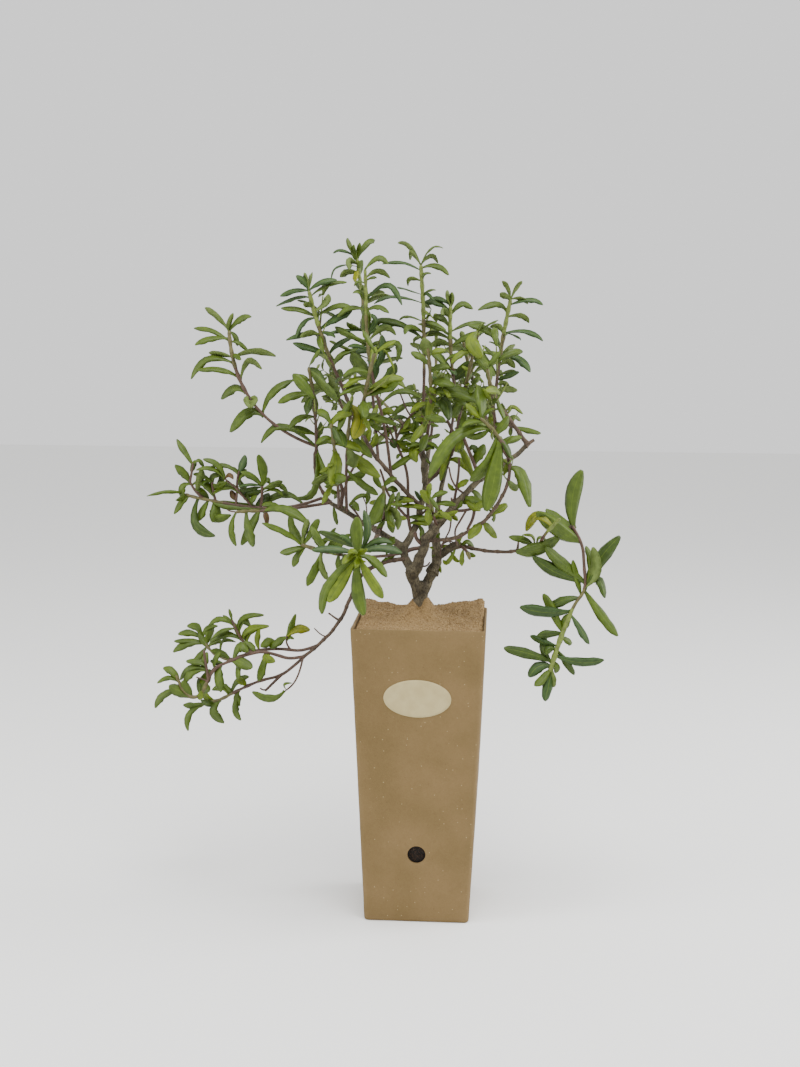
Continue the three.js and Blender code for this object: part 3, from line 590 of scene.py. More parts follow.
YOUNG_BARK_COLOURS = {0.3: "#30271c", 0.5: "#4f3f30", 0.75: "#6c5b49"}


def limb(name, parent, at, heading, out, up, bow, sway, thick=(2.8, 1.6), **more):
    """A limb's sizes: its parent and the place on it, its heading, how far out and up its tip lies."""
    return {"name": name, "from": parent, "at": at, "heading": heading, "out": out, "up": up,
            "bow": bow, "sway": sway, "thick": thick, **more}


TRUNK_ARMS = [
    limb("trunk_left", None, 0, 198, 6, 25, -1, 0, (8.4, 9.4)),
    limb("trunk_right", None, 0, 14, 8, 23, -1.5, 0, (8.4, 7.8)),
]
TRUNK_CORE = limb("trunk_core", None, 0, 0, 2, 18, 0, 0, (10.4, 6.6))
BOUGHS = [
    limb("bough_grey_low", "trunk_left", 1, 320, 12, 22, 2, 1, (8, 6)),
    limb("bough_grey", "bough_grey_low", 1, 356, 36, 41, -1, -3, (6, 3.6)),
    limb("bough_grey_knee", "bough_grey", 1, 15, 32, 23, 1, 0, (3.6, 3)),
    limb("bough_grey_return", "bough_grey_knee", 1, 185, 22, 31, 1, -1, (2.8, 2.4)),
    limb("bough_dark_low", "trunk_left", 1, 134, 8, 15, 1, 0, (6, 5.4)),
    limb("bough_left", "bough_dark_low", 1, 184, 55, 33, 0, -4, (5, 2.6)),
    limb("bough_centre", "bough_dark_low", 1, 25, 15, 43, 4, 2, (4.8, 3.8)),
    limb("bough_centre_top", "bough_centre", 1, 218, 3, 34, 0, -1, (3.6, 2.6)),
    limb("bough_centre_right", "bough_centre", 1, 11, 21, 54, 10, 5, (3, 2.4)),
    limb("bough_right_low", "trunk_right", 1, 60, 5, 20, 1, -2, (7.6, 6)),
    limb("bough_right_up", "bough_right_low", 1, 65, 17, 54, 1, 3, (4.6, 2.6)),
    limb("bough_knot", "bough_right_low", 0.6, 330, 17, 9, 0, -1, (4.8, 5.6)),
    limb("bough_right_arm", "bough_knot", 1, 345, 76, 16, 10, -1, (2.4, 2)),
    limb("bough_low_left_root", "bough_dark_low", 0.5, 196, 35, -14, -5, 1, (3, 2.6)),
    limb("bough_low_left", "bough_low_left_root", 1, 193, 35, -50, 6, 1, (2.6, 2.2)),
    limb("bough_arch", "bough_grey_low", 1, 328, 61, 36, 10, 1, (2.6, 2.2)),
    limb("bough_left_up", "bough_left", 0.9, 214, 10, 38, 5, -2, (2.4, 2)),
    limb("bough_diagonal", "bough_centre", 0.65, 194, 54, 81, 7, 2, (3, 2.4)),
    limb("bough_front", "bough_left", 0.35, 268, 68, -3, -1, 5, (3, 2.4)),
    limb("bough_back", "bough_right_low", 1, 98, 56, 66, 10, 3, (4, 2.6)),
]
UP = np.array((0.0, 0.0, 1.0))
DEPTH = np.array((0.0, 1.0, 0.0))


def unit(vector):
    """The vector's direction, at length 1."""
    return vector / np.linalg.norm(vector)


def mix_of(first, last, part):
    """A value part of the way from one to another."""
    return first + (last - first) * part


def route_from(root, part):
    """The route of a limb from its root, as one smooth bend: its root, bend and tip."""
    heading = math.radians(part["heading"])
    ahead = np.array((math.cos(heading), math.sin(heading), 0))
    leftward = np.array((-ahead[1], ahead[0], 0))
    tip = root + ahead * part["out"] + UP * part["up"]
    reach = math.hypot(part["out"], part["up"])
    bend = (root + tip) / 2 + leftward * 2 * part["sway"]
    bow = 2 * part["bow"]
    bend = bend + ahead * (bow * part["up"] / reach) - UP * (bow * part["out"] / reach)
    return np.array((root, bend, tip))


def point_on(route, place):
    """The point at a place on a route, or the points at several places."""
    place = np.asarray(place, float)[..., None]
    return route[0] * (1 - place) ** 2 + route[1] * 2 * place * (1 - place) + route[2] * place**2


def along(route, place):
    """The direction of a route at a place."""
    return unit((route[1] - route[0]) * (1 - place) + (route[2] - route[1]) * place)


def length_of(route):
    """The length along a route."""
    return np.linalg.norm(np.diff(point_on(route, np.linspace(0, 1, ROUTE_PARTS)), axis=0), axis=1).sum()


routes = {}
for arm in TRUNK_ARMS + [TRUNK_CORE]:
    foot = TRUNK_FOOT - UP * TRUNK_SUNK
    routes[arm["name"]] = route_from(foot, {**arm, "up": arm["up"] + TRUNK_SUNK})
for bough in BOUGHS:
    routes[bough["name"]] = route_from(point_on(routes[bough["from"]], bough["at"]), bough)
noise.seed_set(WANDER_SEED)


def wander(points, thick, seed):
    """A limb's centre line with the small kinks that grown wood has, none at its ends."""
    moved = points.copy()
    for at in range(1, len(points) - 1):
        hold = math.sin(math.pi * at / (len(points) - 1)) ** 0.5
        spot = Vector(points[at] * KINK_PACE) + Vector((seed * KINK_SHIFT, 0, 0))
        moved[at] += np.array(noise.noise_vector(spot)) * BARK_WANDER * thick[at] * hold * 2
    return moved


def wood_line(part, seed, step):
    """A limb's centre line and its radius at each point, narrow at the foot, wide where it forks."""
    route = routes[part["name"]]
    steps = max(4, round(length_of(route) / step))
    places = np.linspace(0, 1, steps + 1)
    points = point_on(route, places)
    thick = mix_of(part["thick"][0], part["thick"][1], places)
    if part["from"] is None:
        above = np.maximum(0, points[:, 2] - TRUNK_FOOT[2])
        thick = thick * (1 - TRUNK_WAIST[part["name"]] * np.exp(-above / TRUNK_WAIST_HEIGHT))
    else:
        thick = thick * (1 + FORK_COLLAR[0] * np.exp(-places * length_of(route) / FORK_COLLAR[1]))
    points = wander(points, thick, seed)
    lumps = [1 + LUMPS[0] * noise.noise(Vector(point * LUMPS[1])) for point in points]
    return points, thick / 2 * lumps, np.zeros(len(points))


def tube_tree(name, finishes):
    """Makes a round limb along each line of points, as thick as the line says, in several finishes."""
    tree, given = new_tree(name, Sides=12)
    lines = add(tree, "GeometryNodeMeshToCurve", {"Mesh": given["Geometry"]}).outputs[0]
    thick = add(tree, "GeometryNodeInputNamedAttribute", {"Name": "thick"}).outputs[0]
    hoop = {"Resolution": given["Sides"], "Radius": 1}
    hoop = add(tree, "GeometryNodeCurvePrimitiveCircle", hoop).outputs[0]
    values = {"Curve": lines, "Profile Curve": hoop, "Scale": thick, "Fill Caps": True}
    tubes = add(tree, "GeometryNodeCurveToMesh", values).outputs[0]
    smooth = add(tree, "GeometryNodeSetShadeSmooth", {"Geometry": tubes}).outputs[0]
    finish_by_kind(tree, smooth, finishes)
    return tree


def line_mesh(name, lines):
    """Lines of points, each point with its radius and the number of its finish."""
    points = np.vstack([line[0] for line in lines])
    edges = []
    for line in lines:
        first = edges[-1][1] + 1 if edges else 0
        edges += [(first + at, first + at + 1) for at in range(len(line[0]) - 1)]
    mesh = bpy.data.meshes.new(name)
    mesh.from_pydata((points * MM).tolist(), edges, [])
    thick = [line[1] * MM for line in lines]
    kinds = [line[2] for line in lines]
    for attribute_name, values in (("thick", thick), ("kind", kinds)):
        attribute = mesh.attributes.new(attribute_name, "FLOAT", "POINT")
        attribute.data.foreach_set("value", np.concatenate(values).astype(np.float32))
    return mesh


def bark_finish(name, colours, ridge):
    """Bark: long patches and cracks from fine to coarse, with scurfy grains."""
    finish, tree, shader, place = new_finish(name, 0.88)
    values = {"Vector": place, "Scale": 190, "Detail": 6, "Roughness": 0.72}
    patches = add(tree, "ShaderNodeTexNoise", values)
    colour = ramp(tree, patches.outputs["Fac"], colours)
    stretched = add(tree, "ShaderNodeMapping", {"Vector": place, "Scale": (1, 1, 0.22)})
    cells = {"Vector": stretched.outputs[0], "Scale": 900}
    cracks = add(tree, "ShaderNodeTexVoronoi", cells, feature="DISTANCE_TO_EDGE")
    dark = ramp(tree, cracks.outputs["Distance"], {0.0: "#7a6e60", 0.12: "#ffffff"})
    colour = blend_colours(tree, 0.7, colour, dark, "MULTIPLY")
    tree.links.new(colour, shader.inputs["Base Color"])
    raise_bumps(tree, shader, patches.outputs["Fac"], ridge)
    return finish


def skin_over(carrier):
    """One skin over limbs that run into each other."""
    skin = carrier.modifiers.new("skin", "REMESH")
    skin.mode = "VOXEL"
    skin.voxel_size = SKIN_CELL * MM
    skin.use_smooth_shade = True


def raise_bark(mesh, lines):
    """Ridges along each limb: each point of the skin moves in or out by its place round the limb."""
    centres = np.vstack([line[0] for line in lines])
    radii = np.concatenate([line[1] for line in lines])
    headings = np.vstack([np.gradient(line[0], axis=0) for line in lines])
    runs = [np.arange(len(line[0])) * OLD_STEP + LIMB_SHIFT * at for at, line in enumerate(lines)]
    runs = np.concatenate(runs)
    finder = kdtree.KDTree(len(centres))
    for at, centre in enumerate(centres):
        finder.insert(centre, at)
    finder.balance()
    count = len(mesh.vertices)
    points = np.zeros(count * 3)
    mesh.vertices.foreach_get("co", points)
    points = points.reshape(-1, 3) / MM
    normals = np.zeros(count * 3)
    mesh.vertex_normals.foreach_get("vector", normals)
    normals = normals.reshape(-1, 3)
    for at in range(count):
        near = finder.find(points[at])[1]
        heading = unit(headings[near])
        aside = points[at] - centres[near]
        run = runs[near] + aside @ heading
        aside = aside - heading * (aside @ heading)
        round_limb = aside / (np.linalg.norm(aside) + 1e-6) * (RIDGE_GIRTH[0] + RIDGE_GIRTH[1] * radii[near])
        spot = Vector(round_limb * RIDGES_ROUND + heading * run * RIDGES_ALONG)
        ridges = 1 - RIDGE_SHARPNESS * abs(noise.noise(spot)) - RIDGE_MIDDLE
        scurf = SCURF[1] * noise.noise(Vector(points[at] * SCURF[0]))
        points[at] += normals[at] * radii[near] * BARK_RIDGE * (ridges + scurf)
    points[:, 2] = np.maximum(points[:, 2], MIX_TOP + 2)
    mesh.vertices.foreach_set("co", (points * MM).ravel())
    mesh.update()


old_limbs = [part for part in TRUNK_ARMS + BOUGHS if part["thick"][0] > OLD_WOOD] + [TRUNK_CORE]
young_limbs = [part for part in BOUGHS if part["thick"][0] <= OLD_WOOD]
old_lines = [wood_line(part, at, OLD_STEP) for at, part in enumerate(old_limbs)]
old_bark = bark_finish("old_bark", BARK_COLOURS, 0.5)
old_tubes = tube_tree("old_limb_tubes", [old_bark])
old_wood = grown("old_wood", line_mesh("old_lines", old_lines), old_tubes, {"Sides": 16}, skin_over)
old_wood.data.materials.clear()
old_wood.data.materials.append(old_bark)
raise_bark(old_wood.data, old_lines)
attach(old_wood, "root")
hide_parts("trunk", *[part["name"] for part in old_limbs if part["from"]])

# Young boughs
# Red-brown boughs two or three millimetres thick that carry the shoots. They have a swollen ring
# at each old leaf joint, and a few dry snags where twigs have broken off.
JOINT_STEP = 9
JOINT_SWELL = (0.28, 0.9)
YOUNG_STEP = 0.8
YOUNG_SEEDS = 20
SNAGS = [
    limb("snag_low_left", "bough_low_left", 0.45, 150, 9, 4, 0, 0, (1.5, 1)),
    limb("snag_arm", "bough_right_arm", 0.5, 80, 4, 6, 0, 0, (1.6, 1.1)),
    limb("snag_knee", "bough_grey_knee", 0.95, 20, 6, 4, 0, 0, (2.6, 2)),
    limb("snag_grey", "bough_grey", 0.55, 250, 4, 6, 0, 0, (2, 1.4)),
    limb("snag_dark", "bough_left", 0.45, 100, 4, 7, 0, 0, (2, 1.3)),
    limb("snag_centre", "bough_centre", 0.5, 330, 6, 5, 0, 0, (2, 1.3)),
]


def young_line(part, seed):
    """A young bough's line, with a swollen ring at each old leaf joint."""
    points, radii, kinds = wood_line(part, seed, YOUNG_STEP)
    runs = np.concatenate(([0], np.cumsum(np.linalg.norm(np.diff(points, axis=0), axis=1))))
    off = np.abs((runs + JOINT_STEP / 2) % JOINT_STEP - JOINT_STEP / 2)
    return points, radii * (1 + JOINT_SWELL[0] * np.exp(-((off / JOINT_SWELL[1]) ** 2))), kinds


for snag in SNAGS:
    routes[snag["name"]] = route_from(point_on(routes[snag["from"]], snag["at"]), snag)
young_lines = [young_line(part, at + YOUNG_SEEDS) for at, part in enumerate(young_limbs + SNAGS)]
young_bark = bark_finish("young_bark", YOUNG_BARK_COLOURS, 0.25)
young_tubes = tube_tree("young_tubes", [young_bark])
young_wood = grown("young_wood", line_mesh("young_lines", young_lines), young_tubes, {"Sides": 12})
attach(young_wood, "root")
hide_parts(*[part["name"] for part in young_limbs])

# Shoots
# Each shoot is one stem with side twigs. Its leaves stand in opposite pairs, each pair a quarter
# turn from the one below. A leaf or twig that would leave its shoot's own space is made shorter.
CLEAR = 0.3
STEM_STEP = 22
STEM_THICK = (2.8, 1.6)
TWIG_STEP = 12
TWIG_THICK = (1.7, 1.1)
TWIG_LENGTH = (14, 24)
TWIG_SPREAD = 46
TWIG_RISE = 4
TWIG_PAIRS = (0.5, 1)
TWIG_LEAF = 0.72
TWIG_TRIES = (1, 0.75)
LEAF_THICK = 0.7
LEAF_SHOULDERS = (0.36, 0.74)
LEAF_ROLL = (12, 52)
LEAF_TRIES = (1, 0.82, 0.66)
LEAF_TESTS = (0.35, 0.7, 1)
LEAF_LENGTH_RANGE = (0.85, 1.15)
LEAF_CURL_RANGE = (0.7, 1.2)
LEAF_KINDS = {
    "upright": {"length": 27, "width": 6.5, "spread": 42, "curl": 80, "pitch": 9.5, "pair_turn": 90},
    "fine": {"length": 17, "width": 4.6, "spread": 44, "curl": 60, "pitch": 9, "pair_turn": 90},
    "bushy": {"length": 25, "width": 6.5, "spread": 46, "curl": 66, "pitch": 9.5, "pair_turn": 90},
    "inner": {"length": 26, "width": 7, "spread": 50, "curl": 60, "pitch": 14, "pair_turn": 90},
    "broad": {"length": 33, "width": 9, "spread": 48, "curl": 40, "pitch": 15, "pair_turn": 90},
    "star": {"length": 38, "width": 9, "spread": 72, "curl": 14, "pitch": 5.5, "pair_turn": 38},
}
PAIR_CROWDING = 1.35
PAIR_SCATTER = 26
TIP_CLOSING = 0.6
CHANCE_WAVE = (12.9898, 43758.5453)
LEAF_DRAWS = (0, 0.3, 0.6, 0.8, 0.9)
STEEPEST_LEVEL = 0.8


def shoot(name, parent, at, heading, out, up, bow, sway, kind, bare, turn, twigs, spray):
    """A leafy shoot: its stem, its kind of leaf, how much is bare, its side twigs and its spray."""
    return limb(name, parent, at, heading, out, up, bow, sway, STEM_THICK,
                kind=kind, bare=bare, turn=turn, twigs=twigs, spray=spray)


SHOOTS = [
    shoot("shoot_top_middle", "bough_centre_top", 1, 263, 10, 110, 1, 2, "upright", 0.15, 0, 2, "top"),
    shoot("shoot_top_left", "bough_diagonal", 0.45, 121, 33, 133, 6, -4, "upright", 0.35, 0, 2, "top"),
    shoot("shoot_top_left_front", "bough_diagonal", 0.3, 245, 29, 127, 5, 3, "upright", 0.35, 90, 2, "top"),
    shoot("shoot_left_centre", "bough_diagonal", 1, 205, 23, 62, 2, 0, "upright", 0.05, 0, 2, "top"),
    shoot("shoot_right_centre", "bough_centre_right", 1, 245, 11, 64, 2, -1, "upright", 0.1, 0, 2, "top"),
    shoot("shoot_top_right", "bough_grey_return", 1, 335, 10, 63, -1, 0, "upright", 0.05, 0, 2, "top"),
    shoot("shoot_upper_left", "bough_left_up", 1, 182, 58, 76, 16, 3, "bushy", 0.3, 0, 0, "left"),
    shoot("shoot_left_tall", "bough_left_up", 0.95, 263, 20, 55, 2, 2, "broad", 0.2, 0, 1, "left"),
    shoot("spray_left_upper", "bough_left", 1, 185, 92, 12, 9, -2, "bushy", 0.15, 0, 3, "left"),
    shoot("spray_left_lower", "bough_left", 0.9, 209, 74, -4, 6, 5, "bushy", 0.25, 0, 2, "left"),
    shoot("sprig_left", "bough_dark_low", 0.8, 211, 76, 10, 5, 2, "bushy", 0.6, 0, 2, "left"),
    shoot("spray_front", "bough_front", 1, 268, 26, -1, 0, 0, "star", 0.1, 0, 0, "front"),
    shoot("spray_low_left_tip", "bough_low_left", 1, 191, 76, -18, -10, 1, "bushy", 0.15, 0, 3, "low"),
    shoot("spray_low_left_under", "bough_low_left", 0.95, 167, 68, -38, 3, -4, "bushy", 0.3, 0, 2, "low"),
    shoot("spray_low_left_over", "bough_low_left", 0.8, 163, 89, -1, 1, -8, "bushy", 0.25, 0, 3, "low"),
    shoot("spray_right_arm", "bough_right_arm", 0.7, 297, 26, 20, 1, -3, "broad", 0.3, 0, 0, "right"),
    shoot("spray_right_hanging", "bough_right_arm", 1, 217, 17, -97, 12, 11, "broad", 0.3, 0, 0, "right"),
    shoot("shoot_arch", "bough_arch", 1, 229, 24, 48, -3, 10, "broad", 0.1, 0, 0, "front"),
    shoot("sprig_right", "bough_grey_return", 0.4, 102, 26, 10, 5, 0, "fine", 0.2, 0, 1, "inner"),
    shoot("sprig_knot", "bough_knot", 0.9, 302, 17, -7, -2, 1, "fine", 0.4, 0, 1, "inner"),
    shoot("shoot_yellow", "bough_left", 0.7, 280, 45, 80, 3, -2, "broad", 0.3, 0, 2, "front"),
    shoot("shoot_front_left", "bough_diagonal", 0.6, 280, 59, 59, 12, -6, "inner", 0.25, 0, 2, "inner"),
    shoot("shoot_front_middle", "bough_centre_top", 0.6, 276, 54, 70, 8, 3, "inner", 0.25, 0, 2, "inner"),
    shoot("shoot_front_right", "bough_centre_right", 0.55, 284, 65, 75, 7, -3, "inner", 0.25, 0, 2, "inner"),
    shoot("shoot_red", "bough_grey_knee", 0.6, 127, 54, 77, 14, -6, "inner", 0.25, 0, 1, "inner"),
    shoot("shoot_right_side", "bough_grey_knee", 0.35, 261, 47, 66, 2, 2, "inner", 0.25, 0, 2, "inner"),
    shoot("shoot_back_left", "bough_diagonal", 0.75, 107, 70, 68, 18, 5, "inner", 0.3, 0, 1, "back"),
    shoot("shoot_back_middle", "bough_back", 1, 175, 24, 93, 2, -3, "inner", 0.2, 0, 1, "back"),
    shoot("shoot_back_right", "bough_right_up", 1, 63, 43, 90, 2, 6, "inner", 0.2, 0, 1, "back"),
    shoot("shoot_back_centre", "bough_back", 0.8, 85, 41, 99, 9, -1, "inner", 0.3, 0, 1, "back"),
    shoot("shoot_back_low_left", "bough_back", 0.7, 140, 70, 63, -4, -9, "inner", 0.3, 0, 1, "back"),
    shoot("shoot_back_low_right", "bough_back", 0.75, 35, 61, 54, 2, 9, "inner", 0.3, 0, 1, "back"),
    shoot("sprig_inner_left", "bough_left", 0.3, 279, 26, 34, 3, 2, "fine", 0.3, 0, 1, "inner"),
    shoot("sprig_inner_right", "bough_grey", 0.25, 260, 22, 20, 3, 0, "fine", 0.3, 0, 1, "inner"),
    shoot("shoot_left_inner", "bough_left", 0.8, 270, 45, 59, 8, 2, "broad", 0.25, 0, 2, "inner"),
]


def large_leaf(on, place, heading, slope, length, width, curl, roll):
    """A large leaf that shows by itself: where it grows, and the heading and slope it starts in."""
    return {"on": on, "place": place, "heading": heading, "spread": 90 - slope,
            "length": length, "width": width, "curl": curl, "roll": roll}


LARGE_LEAVES = [
    large_leaf("spray_right_hanging", 0.02, 37, 74, 39, 10, -12, 90),
    large_leaf("spray_right_hanging", 0.05, 193, 38, 31, 11, 14, 60),
    large_leaf("spray_right_hanging", 0.12, 193, 2, 35, 8, 14, 40),
    large_leaf("spray_right_hanging", 0.28, 344, 53, 32, 9, 12, 60),
    large_leaf("spray_right_hanging", 0.33, 188, 45, 35, 10, 20, 70),
    large_leaf("spray_right_hanging", 0.36, 32, -18, 19, 8, 30, 60),
    large_leaf("spray_right_hanging", 0.44, 5, -44, 33, 7.5, 14, 50),
    large_leaf("spray_right_hanging", 0.5, 186, 3, 41, 9, 10, 50),
    large_leaf("spray_right_hanging", 0.7, 170, 43, 34, 8, -10, 70),
    large_leaf("spray_right_hanging", 0.86, 186, 11, 39, 9, 6, 60),
    large_leaf("spray_right_hanging", 0.88, 4, 3, 27, 8, 8, 60),
    large_leaf("spray_right_hanging", 0.97, 201, -72, 21, 9, 6, 80),
    large_leaf("shoot_arch", 0.72, 214, -75, 45, 11.5, 12, 80),
    large_leaf("shoot_arch", 0.95, 194, 0, 52, 10, 92, 20),
    large_leaf("shoot_arch", 0.4, 353, -1, 34, 9.5, 105, 60),
    large_leaf("shoot_left_tall", 0.1, 187, 73, 42, 7, 78, 30),
    large_leaf("shoot_left_tall", 0.55, 225, 66, 14, 9, 80, 40),
    large_leaf("shoot_yellow", 0.45, 339, -5, 24, 11, 30, 70),
    large_leaf("shoot_left_inner", 0.5, 194, 2, 18, 8, 50, 60),
]

for part in SHOOTS:
    routes[part["name"]] = route_from(point_on(routes[part["from"]], part["at"]), part)


def chance(seed):
    """The same number from 0 to 1 for the same seed."""
    wave = math.sin(seed * CHANCE_WAVE[0]) * CHANCE_WAVE[1]
    return wave - math.floor(wave)


def directions(route, place):
    """Directions at a place on a route: along it, and two square to it."""
    heading = along(route, place)
    reference = UP if abs(unit(route[2] - route[0]) @ DEPTH) > STEEPEST_LEVEL else DEPTH
    across = unit(np.cross(heading, reference))
    return heading, across, np.cross(heading, across)


def turned_out(across, other, angle):
    """The direction at an angle between two that are square to each other."""
    return across * math.cos(angle) + other * math.sin(angle)


def centre_of(route, place, step_length):
    """The point at a place on a limb's centre line, which runs straight between its rings."""
    steps = max(2, math.floor(length_of(route) / step_length + 0.5))
    step = min(math.floor(place * steps), steps - 1)
    return mix_of(point_on(route, step / steps), point_on(route, (step + 1) / steps), place * steps - step)


BLADE_PARTS = np.array((0, 0.06, 0.16, 0.28, 0.41, 0.55, 0.68, 0.8, 0.9, 0.965, 1))


def midrib(leaf, parts):
    """Points on a leaf's midrib: it leaves the stem at its spread angle and curls away from it."""
    start, curl = math.radians(leaf["spread"]), math.radians(leaf["curl"])
    end = start + curl * np.asarray(parts, float)[..., None]
    onward = (np.sin(end) - math.sin(start)) / curl
    away = (math.cos(start) - np.cos(end)) / curl
    return leaf["root"] + leaf["length"] * (leaf["along"] * onward + leaf["out"] * away)


chains = []
for part in TRUNK_ARMS + BOUGHS + SHOOTS:
    chain = point_on(routes[part["name"]], np.linspace(0, 1, 9))
    chains.append((part["name"], chain, part["thick"][0] / 2, "kind" in part))
for leaf in LARGE_LEAVES:
    heading = math.radians(leaf["heading"])
    route = routes[leaf["on"]]
    out = np.array((math.cos(heading), math.sin(heading), 0))
    leaf.update(root=centre_of(route, leaf["place"], STEM_STEP), along=UP, out=out, age="full")
    chains.append(("large_leaf", midrib(leaf, (0.25, 0.5, 0.75, 1)), leaf["width"] / 2, False))

link_starts = np.vstack([chain[1][:-1] for chain in chains])
link_spans = np.vstack([np.diff(chain[1], axis=0) for chain in chains])
link_lengths = (link_spans**2).sum(1)
first_links = np.cumsum([0] + [len(chain[1]) - 1 for chain in chains[:-1]])
chain_radii = np.array([chain[2] for chain in chains])
chain_leafy = np.array([chain[3] for chain in chains])
chain_numbers = {chain[0]: number for number, chain in enumerate(chains) if chain[0] != "large_leaf"}


def keeps_to_own_space(points, half_widths, name):
    """Whether things of these half widths, at these points, are nearer to their own stem than to any
    other, clear of every bough, and clear of the pot and its dressing."""
    points, half_widths = np.atleast_2d(points), np.atleast_1d(half_widths)
    over_pot = np.abs(points[:, :2]).max(1) < POT_RIM_WIDTH / 2 + half_widths + 1
    if (over_pot & (points[:, 2] < POT_HEIGHT + CORNER_RISE + half_widths)).any():
        return False
    aside = points[:, None] - link_starts
    part = np.clip((aside * link_spans).sum(2) / link_lengths, 0, 1)
    gaps = np.linalg.norm(aside - part[..., None] * link_spans, axis=2)
    gaps = np.minimum.reduceat(gaps, first_links, axis=1)
    own = gaps[:, [chain_numbers[name]]]
    room = np.where(chain_leafy, gaps - own - STEM_THICK[0] / 2, gaps - chain_radii)
    room[:, chain_numbers[name]] = np.inf
    return bool((room > half_widths[:, None] + CLEAR).all())


def fitted_leaf(leaf, name):
    """A leaf that fits its shoot's own space, shorter where it has to be, or nothing."""
    lower, upper = LEAF_SHOULDERS
    shape = np.array([min(1, part / lower, (1 - part) / (1 - upper)) for part in LEAF_TESTS])
    for scale in LEAF_TRIES:
        tried = {**leaf, "length": leaf["length"] * scale, "width": leaf["width"] * math.sqrt(scale)}
        room = shape * tried["width"] / 2 + LEAF_THICK / 2
        if keeps_to_own_space(midrib(tried, LEAF_TESTS), room, name):
            return [tried]
    return []


def leaf_pair(branch, place, turn, size, closing, part, seed, age):
    """A pair of opposite leaves at a place on a branch of a shoot."""
    route, _, step = branch
    kind = LEAF_KINDS[part["kind"]]
    heading, across, other = directions(route, place)
    pair = []
    for side in (0, 1):
        draw = [chance(seed + side + which) for which in LEAF_DRAWS]
        swing = math.radians(turn + 180 * side + PAIR_SCATTER * (draw[0] - 0.5))
        leaf = {
            "root": centre_of(route, place, step),
            "along": heading,
            "out": turned_out(across, other, swing),
            "length": kind["length"] * size * mix_of(*LEAF_LENGTH_RANGE, draw[1]),
            "width": kind["width"] * math.sqrt(size),
            "spread": kind["spread"] * closing,
            "curl": kind["curl"] * closing * mix_of(*LEAF_CURL_RANGE, draw[2]),
            "roll": math.copysign(mix_of(*LEAF_ROLL, draw[4]), draw[3] - 0.5),
            "age": age,
        }
        pair += fitted_leaf(leaf, part["name"])
    return pair


def side_twig(part, place, turn, seed, length, thick):
    """A side twig that leaves its stem at the twigs' spread angle and turns up, or nothing."""
    route = routes[part["name"]]
    heading, across, other = directions(route, place)
    root = point_on(route, place)
    spread = math.radians(TWIG_SPREAD)
    ahead = heading * math.cos(spread) + turned_out(across, other, math.radians(turn)) * math.sin(spread)
    for scale in TWIG_TRIES:
        reach = scale * mix_of(length[0], length[1], chance(seed))
        bend = root + ahead * reach / 2
        tip = root + ahead * reach + UP * TWIG_RISE * scale * length[1] / TWIG_LENGTH[1]
        if keeps_to_own_space(np.array((bend, tip)), np.full(2, thick[0] / 2), part["name"]):
            return [np.array((root, bend, tip))]
    return []


# The gaps in the crown where the photograph shows sky: the pixel of each one's middle, and its
# radius in pixels. The rule leaves them open, and two back shoots end below them.
PHOTO_WIDTH_PIXELS = 800
SKY_GAPS = (
    (397, 275, 12), (400, 310, 11), (470, 295, 13), (470, 316, 7), (488, 316, 7),
    (408, 374, 11), (420, 380, 8), (392, 405, 7), (405, 412, 6), (432, 429, 6),
    (512, 397, 10), (530, 388, 13), (524, 309, 7), (338, 298, 8), (336, 355, 6),
    (300, 360, 9), (324, 456, 6),
)
ENDS_BELOW_SKY = {"shoot_back_middle": 0.42, "shoot_back_left": 0.7}


def depth_of(points):
    """How deep points lie in front of the camera."""
    return (points - np.array(CAMERA_PLACE)) @ np.array(forward)


def in_sky_gap(points):
    """Whether any of these points would show in one of the photograph's gaps."""
    aside = (points - np.array(CAMERA_PLACE)) * FOCAL_PIXELS / depth_of(points)[:, None]
    across = PHOTO_WIDTH_PIXELS / 2 + aside @ np.array(right)
    down = PHOTO_HEIGHT_PIXELS / 2 - aside @ np.array(top)
    return any((np.hypot(across - x, down - y) < size).any() for x, y, size in SKY_GAPS)


for name, end in ENDS_BELOW_SKY.items():
    route = routes[name]
    routes[name] = np.array((route[0], mix_of(route[0], route[1], end), point_on(route, end)))

# Finer growth than the shoots' main leaves: short twigs in the leaf joints with small leaves, tufts
# of tiny leaves, and a closed bud of young leaves at each tip. On every kind of shoot a leaf of
# size 1 is as long here as these two lengths say.
FINE_LEAF_LENGTH = 20
TUFT_LEAF_LENGTH = 25
OLD_UP_TO = 0.3
FULL_UP_TO = 0.72
SMALLEST_PAIR = 0.45
PAIR_SIZES = (0.85, 0.05)
TWIGS_UP_TO = 0.85
TWIG_TURNS = (45, 137, 90)
TWIG_SEEDS = 60
FINE_SEEDS = 3000
TUFT_SEEDS = 6000
TUFT_TURN = 20
TUFT_CLOSING = 0.8
FINE_PITCH = 11
FINE_LENGTH = (6, 13)
FINE_THICK = (1.1, 0.8)
FINE_PAIRS = (0.55, 1)
FINE_LEAF = (0.34, 0.56)
FINE_SHARE = {"top": 0.5, "left": 0.4, "front": 0.5, "low": 0.1, "right": 0.3, "inner": 1, "back": 1}
FINE_UP_TO = 0.66
TUFT_LEAF = (0.2, 0.36)
BUD_LEAF = 0.3
BUD_CLOSING = 0.3
GAP_PLACES = np.linspace(0.1, 1, 6)


